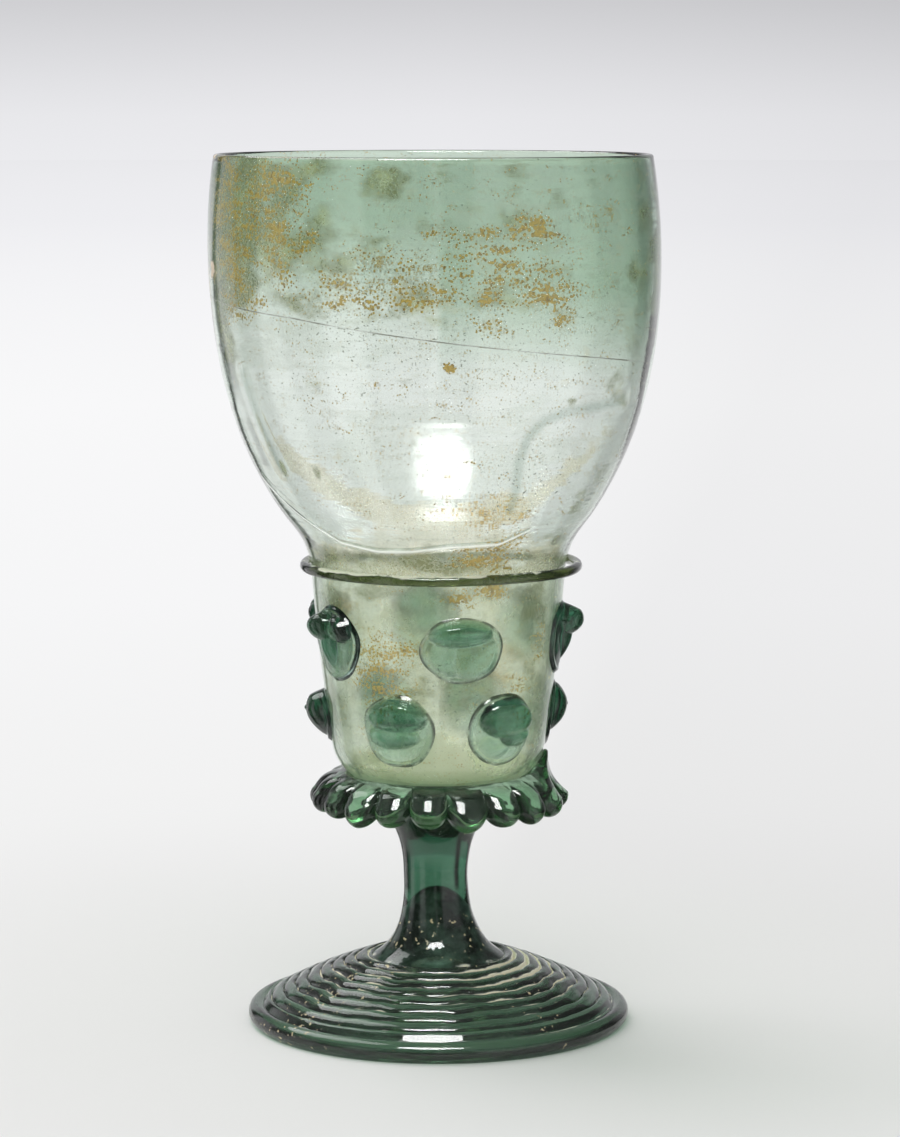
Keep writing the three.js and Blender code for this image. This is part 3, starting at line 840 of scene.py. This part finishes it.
def makeShaft(sizes):
    outside = shaftOutline(sizes, 20, 44)
    inside = offsetInwards(outside, sizes["wall"])[::-1]
    inside[0].y = neckHeight - seam
    inside[-1].y = stemTop + seam + sizes["wall"]
    floorMiddle = Vector((0, stemTop + seam))
    innerMiddle = Vector((0, inside[-1].y))
    outline = [floorMiddle, *outside, *inside, innerMiddle]
    shaft = turned("shaft_glass", outline, sizes, shaftGlass())

    def behindAt(place):
        return smooth((abs(place.azimuth) - 80) / 40)

    def insideAt(place):
        # the inner wall and the floor, a little less so in front
        lined = place.inner or (place.radius < sizes["floorRadius"] and place.height > stemTop + 1)
        return lined * mix(0.9, 1.0, behindAt(place))

    paint(shaft, {
        "inside": insideAt, "behind": behindAt, "crust": shaftCrust, "film": shaftFilm, "olive": shaftOlive,
        "specks": shaftSpecks, "silt": shaftSilt,
    })
    handOver(shaft, "prunted_shaft")


def makeNeckThread():
    sizes = {"thickness": 1.75, "drop": 0.3, "sway": 0.35, "slack": 0.9, "slackAzimuth": 100}
    slack = around(math.radians(sizes["slackAzimuth"]), sizes["slack"], 0)
    ringRadius = bowlSizes["neckRadius"] + 0.15 + sizes["thickness"] / 2
    thread = grow("neck_thread_glass", sectionMesh("threadSeed", [Vector((0, 0))]), trailTree, {
        "Segments": 200, "Ring Radius": ringRadius * mm, "Height": (neckHeight - sizes["drop"]) * mm,
        "Thickness": sizes["thickness"] * mm, "Sway": sizes["sway"] * mm, "Slack": slack,
        "Glass": drawnGlass("olive_forest_glass", "thread", (8.0, 8.0, 1.0), 0.02, 3.0, 0.1, topDustAndSheen),
    })

    def dustAndSheenAt(place):
        # cream dust along the top of the thread, with a painted highlight, most on its front
        return smooth((place.height - neckHeight) / 0.5) * (1.0 if -60 < place.azimuth < 20 else 0.4)

    paint(thread, {"dust": dustAndSheenAt})
    handOver(thread, "neck_thread")


def makeStem():
    sizes = {
        "baseRadius": 11.5, "baseSlope": 35, "flareHandle": 1.4, "waistRadius": 5.5, "waistRise": 14,
        "topRadius": 10.2, "topFlare": 0.7, "hollowRise": 12.4, "hollowRadius": 4.4, "mouth": 1,
        "skirtWall": 0.8, "belowWaist": 0.8, "aboveWaist": 0.54, "belowTop": 0.39,
        "segments": 96, "wobble": 0.5, "wobbleSize": 12, "lean": -0.5,
    }
    footHeight, skirtHeight = 11.4, bottomOf("stem")
    base = Vector((sizes["baseRadius"], footHeight))
    waist = Vector((sizes["waistRadius"], footHeight + sizes["waistRise"]))
    top = Vector((sizes["topRadius"], stemTop - seam))
    slope = math.radians(sizes["baseSlope"])
    baseHandle = base + Vector((-math.cos(slope), math.sin(slope))) * sizes["flareHandle"]
    belowWaist = waist - Vector((0, sizes["belowWaist"] * sizes["waistRise"]))
    length = top.y - waist.y
    aboveWaist = waist + Vector((0, sizes["aboveWaist"] * length))
    belowTop = Vector((sizes["topRadius"] - sizes["topFlare"], top.y - sizes["belowTop"] * length))
    flare = bezier([base, baseHandle, belowWaist, waist], 40)
    upper = bezier([waist, aboveWaist, belowTop, top], 36)[1:]
    hollowTop = Vector((0, footHeight + sizes["hollowRise"]))
    skirtFoot = Vector((sizes["baseRadius"], skirtHeight))
    hollow = bezier([hollowTop, Vector((sizes["hollowRadius"], hollowTop.y)),
                     Vector((sizes["hollowRadius"], skirtHeight + sizes["mouth"])),
                     Vector((sizes["baseRadius"] - sizes["skirtWall"], skirtHeight))], 30)
    outline = [*hollow, skirtFoot, *flare, *upper, Vector((0, top.y))]
    glass = drawnGlass("stem_forest_glass", "stem", (6.0, 2.0, 3.0), 0.015, 4.0, 0.2, hollowShade)
    stem = turned("stem_glass", outline, sizes, glass, footHeight, waist.y)
    # flecks in the flare, and dregs where it stands on the foot
    paint(stem, {
        "hollow": lambda place: place.inner and place.height < hollowTop.y + 0.5,
        "flecks": lambda place: -1.0 if place.inner else smooth(1 - abs(place.height - 16) / 8),
        "dregs": lambda place: 0.0 if place.inner else 0.5 * smooth((footHeight + 1.3 - place.height) / 1.2),
    })
    handOver(stem, "stem")


makeShaft(shaftSizes)
makeNeckThread()
makeStem()

print("stage 5: spun foot")

# Places where yellow flecks lie thick on the foot, at any height
footFlecks = [(-50, 0, 14, 999, 1.0), (40, 0, 8, 999, 0.8), (-5, 0, 10, 999, 0.4)]


def makeFoot():
    sizes = {
        "radius": 33.1, "height": 11.4, "threadThickness": 2.0, "turns": 9, "startAzimuth": 25,
        "depth": 0.65, "rimThickness": 3.4, "restWidth": 1.6, "crown": 0.6, "innerRadius": 11.54,
        "pointsPerTurn": 16, "segments": 288, "wander": 0.4,
    }
    bead = sizes["rimThickness"] / 2
    beadMiddle = Vector((sizes["radius"] - bead, bead))

    def onBead(angle):
        return beadMiddle + Vector((math.cos(math.radians(angle)), math.sin(math.radians(angle)))) * bead

    shoulder = onBead(120)
    inner = Vector((sizes["innerRadius"], sizes["height"]))
    perTurn, turns = sizes["pointsPerTurn"], sizes["turns"]
    lines = (turns + 1) * perTurn + 1
    threadTurn = [line / perTurn for line in range(lines)]
    # across one turn the thread shows as the top of a round rod
    crest = [(1 - (2 * (line % perTurn) / perTurn - 1) ** 2) ** 0.5 for line in range(lines)]
    underside = []
    for share in (index / 24 for index in range(25)):
        outer = Vector((beadMiddle.x - bead, bead))
        under = outer.lerp(Vector((inner.x, sizes["height"] - sizes["threadThickness"])), share)
        underside.append(under + Vector((0, sizes["crown"] * 4 * share * (1 - share))))
    rim = [onBead(angle) for angle in range(110, -55, -8)]
    rest = [Vector((beadMiddle.x + side * sizes["restWidth"] / 2, 0.0)) for side in (1, -1)]
    below = [*rim, *rest, *underside, inner]
    outline = [inner] * lines + below
    filler = [0.0] * len(below)
    section = sectionMesh("footSection", outline, {
        "threadTurn": threadTurn + filler, "crest": crest + filler, "onTop": [1.0] * lines + filler})
    foot = grow("foot_glass", section, spunTree, {
        "Segments": sizes["segments"], "Turns": float(turns), "Start": float(sizes["startAzimuth"]),
        "Inner": Vector((inner.x, 0, inner.y)) * mm, "Outer": Vector((shoulder.x, 0, shoulder.y)) * mm,
        "Crown": 4 * sizes["crown"] * mm, "Depth": sizes["depth"] * mm, "Wander": sizes["wander"],
        "Glass": drawnGlass("spun_forest_glass", "foot", (2.0, 4.0, 9.0), bumpiness=0.15),
    })
    grooves = foot.data.attributes["groove"].data

    def dregsAt(place):
        # the dregs lie in the grooves, most near the stem and on the right
        groove = grooves[place.number].value
        near = smooth((28 - place.radius) / 13) * mix(0.5, 1.0, smooth((place.x + 6) / 20))
        return groove * 0.6 + near * 0.44 * (groove > 0.15)

    paint(foot, {
        "flecks": lambda place: -1.0 if place.inner else stains(footFlecks, place),
        "dregs": dregsAt,
    })
    handOver(foot, "spun_foot")


makeFoot()

print("stage 6: pinched collar")


def makeCollar():
    sizes = {
        "seatRise": 1.7, "rootThickness": 3.0, "lobeLength": 4.9, "lobeThickness": 4.6, "droop": 42,
        "scallop": 1.7, "creaseDepth": 2.4, "bulge": 0.7, "tailAzimuth": 88, "tailRise": 3.6,
        "tailWidth": 14, "tailThickness": 1.0, "steps": 20, "arcPoints": 15, "sidePoints": 10,
    }
    # Middles of the pinched lobes: nine at the front, the rest spread evenly over the back
    azimuths = [-77.5, -61, -42, -22.4, -5.7, 14, 35, 51.3, 72.4] + [72.4 + 19.1 * k for k in range(1, 11)]
    shuffle = random.Random(4)
    lobes = []
    for number, azimuth in enumerate(azimuths):
        before = azimuths[number - 1] - (360 if number == 0 else 0)
        after = azimuths[(number + 1) % len(azimuths)] + (360 if number == len(azimuths) - 1 else 0)
        lobes.append({
            "from": (before + azimuth) / 2, "to": (azimuth + after) / 2,
            "length": sizes["lobeLength"] * shuffle.uniform(0.94, 1.06),
            "thickness": sizes["lobeThickness"] * shuffle.uniform(0.94, 1.05),
            "droop": sizes["droop"] + shuffle.uniform(-6, 6),
        })
    # two lobes meet in a crease, where both end in the same way
    creases = [{key: (lobe[key] + lobes[number - 1][key]) / 2 for key in ("length", "thickness", "droop")}
               for number, lobe in enumerate(lobes)]
    seatHeight = stemTop + sizes["seatRise"]

    def offShaft(height, radius):
        wall, outward = shaftAt(height)
        return Vector((wall, height)) + outward * (radius + seam)

    hinge = offShaft(seatHeight, sizes["rootThickness"] / 2)

    def sectionAt(number, share):
        # The section of the collar at a place on a lobe: from the root on the shaft to the rounded tip
        lobe, across = lobes[number], 2 * share - 1
        crease = creases[number if across < 0 else (number + 1) % len(lobes)]
        reading = {key: mix(lobe[key], crease[key], abs(across)) for key in crease}
        fall = (1 - (1 - 0.9 * across ** 2) ** 0.5) / (1 - 0.1 ** 0.5)
        azimuth = mix(lobe["from"], lobe["to"], share)
        fromTail = (azimuth - sizes["tailAzimuth"] + 180) % 360 - 180
        tail = math.exp(-((fromTail / sizes["tailWidth"]) ** 2))
        rootRadius = mix(sizes["rootThickness"], sizes["tailThickness"], tail) / 2
        tipRadius = (reading["thickness"] - sizes["creaseDepth"] * fall) / 2
        root = offShaft(seatHeight + sizes["tailRise"] * tail, rootRadius)
        droop = math.radians(reading["droop"])
        length = reading["length"] - sizes["scallop"] * fall
        tip = hinge + Vector((math.cos(droop), -math.sin(droop))) * length
        along = (tip - root).normalized()
        outward = Vector((-along.y, along.x))
        arcSteps = sizes["arcPoints"] - 1
        arcs = []
        for middle, radius, turn in ((tip, tipRadius, 1), (root, rootRadius, -1)):
            for angle in (math.pi * point / arcSteps for point in range(arcSteps + 1)):
                arcs.append(middle + (outward * math.cos(angle) + along * math.sin(angle)) * radius * turn)
        # the outer side swells between the root and the tip, less so in the creases and along the tail
        sideFrom, sideTo = arcs[-1], arcs[0]
        swelling = sizes["bulge"] * (1 - 0.7 * fall) * (1 - 2.8 * tail)
        side = []
        for point in range(1, sizes["sidePoints"]):
            part = point / sizes["sidePoints"]
            side.append(sideFrom.lerp(sideTo, part) + outward * swelling * math.sin(math.pi * part))
        return math.radians(azimuth), arcs + side

    steps = sizes["steps"]
    sections = [sectionAt(number, turn / steps) for number in range(len(lobes)) for turn in range(steps)]
    columns = len(sections[0][1])

    def pointAt(row, column):
        azimuth, outline = sections[row % len(sections)]
        at = outline[column % columns]
        return around(azimuth, at.x, at.y)

    glass = drawnGlass("emerald_forest_glass", "collar", (3.0, 5.0, 7.0), bumpSize=3.0)
    collar = skin("collar_glass", len(sections), columns, pointAt, glass)

    def troughAt(place):
        # the trough behind the lobes, which ends where the tail is drawn up
        return smooth((place.height - 42.5) / 1.2) * (abs(place.azimuth - sizes["tailAzimuth"]) > 24)

    def paintedShadeAt(place):
        # painted shade in the trough, and all over the lobes at the left and the right, which lie darker
        sides = smooth((-place.azimuth - 38) / 22) + 0.5 * smooth((place.azimuth - 30) / 30)
        return max(0.8 * troughAt(place), sides)

    # cream dregs lie in the trough too
    paint(collar, {"dregs": lambda place: 0.38 * troughAt(place), "paintedShade": paintedShadeAt})
    handOver(collar, "pinched_collar")


makeCollar()

print("stage 7: prunts")

pruntSizes = {
    "width": 13.1, "height": 12.6, "pad": 0.8, "edge": 0.02, "lip": 0.22,
    "upperDrop": 12.3, "lowerRise": 11.5, "rings": 48, "backRings": 8, "spokes": 96,
}
# The deepest green, since the thin pads show their colour as strongly as the thick collar
pruntGreen = drawnGlass("prunt_forest_glass", "prunt", (1.0, 6.0, 2.0))

# Each knob on a pad: across, up, half width, half height, how far it stands out, and how blunt it is
roundKnob = [(0, 3.0, 2.9, 2.9, 3.4, 0.5), (0, 1.0, 2.4, 5.2, 1.7, 1.0)]
foldedKnob = [(0.1, 2.9, 5.3, 3.0, 2.4, 0.5), (-0.7, -0.6, 4.8, 2.3, 1.3, 0.55)]
turnedKnob = [(0.9, 2.2, 5.4, 3.6, 2.3, 0.5), (2.4, -1.0, 3.4, 2.0, 1.5, 0.6),
              (-1.5, -2.5, 3.5, 2.8, 0.4, 0.8)]
sideKnob = [(-1.2, 3.0, 3.0, 2.7, 3.4, 0.5), (2.6, 2.8, 2.6, 2.4, 1.9, 0.6), (-0.6, 0.2, 2.4, 4.6, 1.5, 1.0)]
coneKnob = [(0, 0.9, 4.2, 4.6, 3.0, 0.8), (0, 1.2, 1.2, 1.2, 3.3, 0.5)]
flatKnob = [(-0.4, 3.0, 5.6, 2.4, 2.0, 0.5), (-3.0, -1.0, 3.6, 4.0, 0.5, 0.5),
            (2.4, -1.3, 4.4, 4.2, 0.7, 0.5)]

# Azimuth, knob, and the pad's width and height where they differ
prunts = {
    "upper_prunt_1": (-57, sideKnob), "upper_prunt_2": (11, flatKnob, 14.6, 11.4),
    "upper_prunt_3": (83, roundKnob), "upper_prunt_4": (131, roundKnob),
    "upper_prunt_5": (188, foldedKnob), "upper_prunt_6": (245, sideKnob),
    "lower_prunt_1": (-92, coneKnob, 12.2, 9.4), "lower_prunt_2": (-21, foldedKnob),
    "lower_prunt_3": (34, turnedKnob), "lower_prunt_4": (104, coneKnob),
    "lower_prunt_5": (160, turnedKnob), "lower_prunt_6": (214, sideKnob),
}


def makePrunt(node, azimuth, knobs, width=pruntSizes["width"], height=pruntSizes["height"]):
    sizes = pruntSizes
    middle = neckHeight - sizes["upperDrop"] if node.startswith("upper") else stemTop + sizes["lowerRise"]
    middleRadius = shaftAt(middle)[0]
    rings, backRings, spokes = sizes["rings"], sizes["backRings"], sizes["spokes"]

    def standOut(across, up, share):
        # a thin round-shouldered pad, and the knobs that the pincers drew out of it
        shoulder = 1 - share ** 5
        lip = sizes["lip"] * math.exp(-(((share - 0.9) / 0.05) ** 2))
        out = mix(sizes["edge"], sizes["pad"], shoulder) + lip
        wave = 0.25 * noise.noise(Vector((across, up, azimuth)) * 0.45)
        for x, y, halfWidth, halfHeight, tall, blunt in knobs:
            near = ((across - x) / halfWidth) ** 2 + ((up - y) / halfHeight) ** 2
            if near < 1:
                knob = (1 - near) ** blunt
                out = max(out, sizes["pad"] * shoulder * 0.8 + tall * knob * min(1, shoulder * 1.3))
        return out + wave * shoulder * 0.5

    def pointAt(row, column):
        direction = 2 * math.pi * (row % spokes) / spokes
        front = column <= rings
        share = column / rings if front else 1 - (column - rings) / backRings
        spread = Vector((math.cos(direction), math.sin(direction), azimuth * 0.1))
        ragged = 1 + 0.07 * noise.noise(spread * 1.4)
        across = width / 2 * share * math.cos(direction) * ragged
        up = height / 2 * share * math.sin(direction) * ragged
        out = standOut(across, up, share) if front else 0.0
        radius = shaftAt(middle + up)[0] + seam + out
        return around(math.radians(azimuth) + across / middleRadius, radius, middle + up)

    def paintedShadeAt(place):
        # a fine line of painted shade in the seam round the pad
        across = math.radians((place.azimuth - azimuth + 180) % 360 - 180) * middleRadius
        share = math.hypot(across / width, (place.height - middle) / height) * 2
        return smooth((share - 0.9) / 0.06)

    prunt = skin(node + "_glass", spokes, rings + backRings, pointAt, pruntGreen)
    paint(prunt, {"paintedShade": paintedShadeAt})
    handOver(prunt, node)


for node, shape in prunts.items():
    makePrunt(node, *shape)

print("stage 8: floor, light and camera")

# What the camera and clear glass see round the object: a pale sweep, a little darker high up. Its
# tones are read along the sweep by the distance from the object, and in the air by the elevation
studio = {
    "floorRadius": 7500, "floorGrey": "e7e7e6", "fibreGrey": "bcbcbc", "ambient": 0.45,
    "sweepTones": [(0.1, "ededed"), (0.22, "f2f2f2"), (0.55, "f6f6f7"), (1.3, "f8f8f9"), (2.4, "f4f4f6"),
                   (3.9, "eeeef1"), (7.5, "e9e9ec")],
    "airTones": [(-1.1, "ebebee"), (-0.5, "e8e8eb"), (0.0, "e2e2e5"), (0.6, "d9d9dc"), (1.2, "cfcfd2"),
                 (9.0, "d2d2d5")],
    "litNear": 0.06, "litFar": 0.2, "rightDim": 0.915,
    # from and to azimuths of the black cards, counted from +Y towards +X, and how soft their edges are
    "cards": [(26, 112, 24), (157, 181, 5), (-37, -23, 5), (-84, -58, 5), (-126, -98, 5), (-181, -140, 5)],
}
# Softboxes: width and depth, azimuth, distance and height of the middle, and power
frontSoftbox = {"size": (520, 430), "azimuth": -7, "away": 480, "height": 860, "power": 2.2}
glintSoftbox = {"size": (500, 410), "azimuth": -7, "away": 470, "height": 840, "power": 9.0}
sideSoftbox = {"size": (800, 800), "azimuth": -135, "away": 600, "height": 950, "power": 6.6}


def tonesAlong(tree, value, tones, low, high):
    # Greys read off a scale that runs from low to high
    share = addNode(tree, "MapRange", (value, low, high))
    scale = addNode(tree, "ValToRGB", (share,))
    stops = scale.color_ramp.elements
    while len(stops) < len(tones):
        stops.new(0.5)
    for stop, (at, text) in zip(stops, tones):
        stop.position = (at - low) / (high - low)
        stop.color = hexColour(text)
    return scale.outputs["Color"]


def turnOf(tree, direction):
    # The azimuth of a direction from +Y towards +X, in radians
    place = addNode(tree, "SeparateXYZ", (direction,))
    return addNode(tree, "Math", (place.outputs["X"], place.outputs["Y"]), "ARCTAN2")


def dimRight(tree, tone, direction):
    # The sweep grows a little darker to the right
    add = partial(addNode, tree)
    aim = add("VectorMath", (direction,), "NORMALIZE")
    aim = add("SeparateXYZ", (aim,)).outputs
    side = add("MapRange", (aim["X"], 0.0, 0.122, 1.0, studio["rightDim"]))
    back = add("MapRange", (aim["Y"], -0.3, 0.7))
    side = add("Mix", (back, 1.0, side))
    return add("Mix", (1.0, tone, side), data_type="RGBA", blend_type="MULTIPLY")


def darkCards(tree, direction):
    # Black card stood at the sides of the set, which draws the dark edges of the clear glass: 1 where
    # the direction meets a card
    add = partial(addNode, tree)
    turn = turnOf(tree, direction)
    shade = 0.0
    for start, end, soft in studio["cards"]:
        offset = add("Math", (turn, math.radians((start + end) / 2)), "SUBTRACT")
        offset = add("Math", (offset,), "ABSOLUTE")
        half = math.radians((end - start) / 2)
        card = add("MapRange", (offset, half - math.radians(soft), half, 1.0, 0.0))
        shade = add("Math", (shade, card), "MAXIMUM")
    return shade


def setRays(tree):
    # 1 on the rays that shiny or clear glass sends on, and 1 on those and the camera's own
    ray = addNode(tree, "LightPath").outputs
    glassRay = addNode(tree, "Math", (ray["Is Glossy Ray"], ray["Is Transmission Ray"]), "MAXIMUM")
    return glassRay, addNode(tree, "Math", (ray["Is Camera Ray"], glassRay), "MAXIMUM")


def makeWorld():
    world = bpy.data.worlds.new("studioSurround")
    bpy.context.scene.world = world
    world.use_nodes = True
    tree = world.node_tree
    tree.nodes.clear()
    add = partial(addNode, tree)
    direction = add("TexCoord").outputs["Generated"]
    rise = add("SeparateXYZ", (direction,)).outputs["Z"]
    rise = add("Math", (rise,), "ARCSINE")
    rise = add("Math", (rise,), "DEGREES")
    seen = dimRight(tree, tonesAlong(tree, rise, studio["airTones"], -1.2, 9.0), direction)
    # glass meets the dark of the room above the sweep, and the black cards beside it
    glassRay, visible = setRays(tree)
    roof = add("MapRange", (rise, 16.0, 26.0, 0.0, 0.75))
    cards = total(tree, (darkCards(tree, direction), 0.96))
    shade = add("Math", (roof, cards), "MAXIMUM")
    shade = add("Math", (shade, glassRay), "MULTIPLY")
    seen = add("Mix", (shade, seen, hexColour("000000")), data_type="RGBA")
    light = add("Background", {"Color": hexColour("ffffff"), "Strength": studio["ambient"]})
    view = add("Background", {"Color": seen, "Strength": 1.0})
    both = add("MixShader", (visible, light, view))
    add("OutputWorld", {"Surface": both})


def makeFloor():
    segments, radii = 96, [60, 150, 300, 700, 1500, 3500, studio["floorRadius"]]
    depth = -0.02
    points = [Vector((0, 0, depth)) * mm]
    for radius in radii:
        points += [around(2 * math.pi * turn / segments, radius, depth) for turn in range(segments)]
    faces = []
    for ring in range(len(radii)):
        for turn in range(segments):
            near, after = 1 + ring * segments + turn, 1 + ring * segments + (turn + 1) % segments
            inner = (near - segments, after - segments) if ring else (0,)
            faces.append((near, after, *inner[::-1]))
    mesh = bpy.data.meshes.new("studioFloor")
    mesh.from_pydata(points, [], faces)
    floor = bpy.data.objects.new("studioFloor", mesh)
    bpy.context.scene.collection.objects.link(floor)
    # Matte paper, faintly fibrous
    material, tree = startMaterial("matte_paper_sweep")
    add = partial(addNode, tree)
    place = add("TexCoord").outputs["Object"]
    away = add("VectorMath", (place,), "LENGTH")
    fibres = total(tree, (grain(tree, 0.6, 3.0), 0.05))
    greys = hexColour(studio["floorGrey"]), hexColour(studio["fibreGrey"])
    lit = add("BsdfDiffuse", {"Color": add("Mix", (fibres, *greys), data_type="RGBA")})
    # far off, the lamps no longer reach the paper, and its tone is given
    tone = dimRight(tree, tonesAlong(tree, away, studio["sweepTones"], 0.0, 7.5), place)
    glow = add("Emission", {"Color": tone, "Strength": 1.0})
    glassRay, visible = setRays(tree)
    far = risen(tree, studio["litNear"], studio["litFar"], (away, 1.0))
    far = add("Math", (far, visible), "MULTIPLY")
    paper = add("MixShader", (far, lit, glow))
    # the cards stand clear of the glass
    clear = risen(tree, 0.05, 0.09, (away, 1.0))
    card = total(tree, (darkCards(tree, place), 0.95))
    for share in (clear, glassRay):
        card = add("Math", (card, share), "MULTIPLY")
    black = add("BsdfDiffuse", {"Color": hexColour("000000")})
    add("OutputMaterial", {"Surface": add("MixShader", (card, paper, black))})
    mesh.materials.append(material)


def makeSoftbox(name, sizes, glintOnly=False):
    # A softbox for glints only is round, is seen in the glass, and lights nothing dull
    light = bpy.data.lights.new(name, "AREA")
    light.shape = "ELLIPSE" if glintOnly else "RECTANGLE"
    light.size, light.size_y = sizes["size"][0] * mm, sizes["size"][1] * mm
    light.energy = sizes["power"]
    lamp = bpy.data.objects.new(name, light)
    lamp.visible_diffuse = not glintOnly
    lamp.visible_transmission = False
    bpy.context.scene.collection.objects.link(lamp)
    lamp.location = around(math.radians(sizes["azimuth"]), sizes["away"], sizes["height"])
    middle = Vector((0, 0, rimHeight / 2)) * mm
    lamp.rotation_euler = (middle - lamp.location).to_track_quat("-Z", "Y").to_euler()


def makeCamera():
    # Where the photograph was taken from: it looks a little down on the glass, from its front
    sizes = {"aside": 2.0, "away": 657, "height": 162, "pitch": 7.2, "lens": 121.87}
    camera = bpy.data.objects.new("camera", bpy.data.cameras.new("camera"))
    bpy.context.scene.collection.objects.link(camera)
    camera.data.sensor_width = 36
    camera.data.lens = sizes["lens"]
    camera.data.clip_start, camera.data.clip_end = 0.01, 100
    camera.location = Vector((sizes["aside"], -sizes["away"], sizes["height"])) * mm
    camera.rotation_euler = (math.radians(90 - sizes["pitch"]), 0, 0)
    bpy.context.scene.camera = camera


makeWorld()
makeFloor()
makeSoftbox("frontSoftbox", frontSoftbox)
makeSoftbox("frontGlint", glintSoftbox, glintOnly=True)
makeSoftbox("sideSoftbox", sideSoftbox)
makeCamera()
bpy.context.scene.view_settings.view_transform = "Standard"
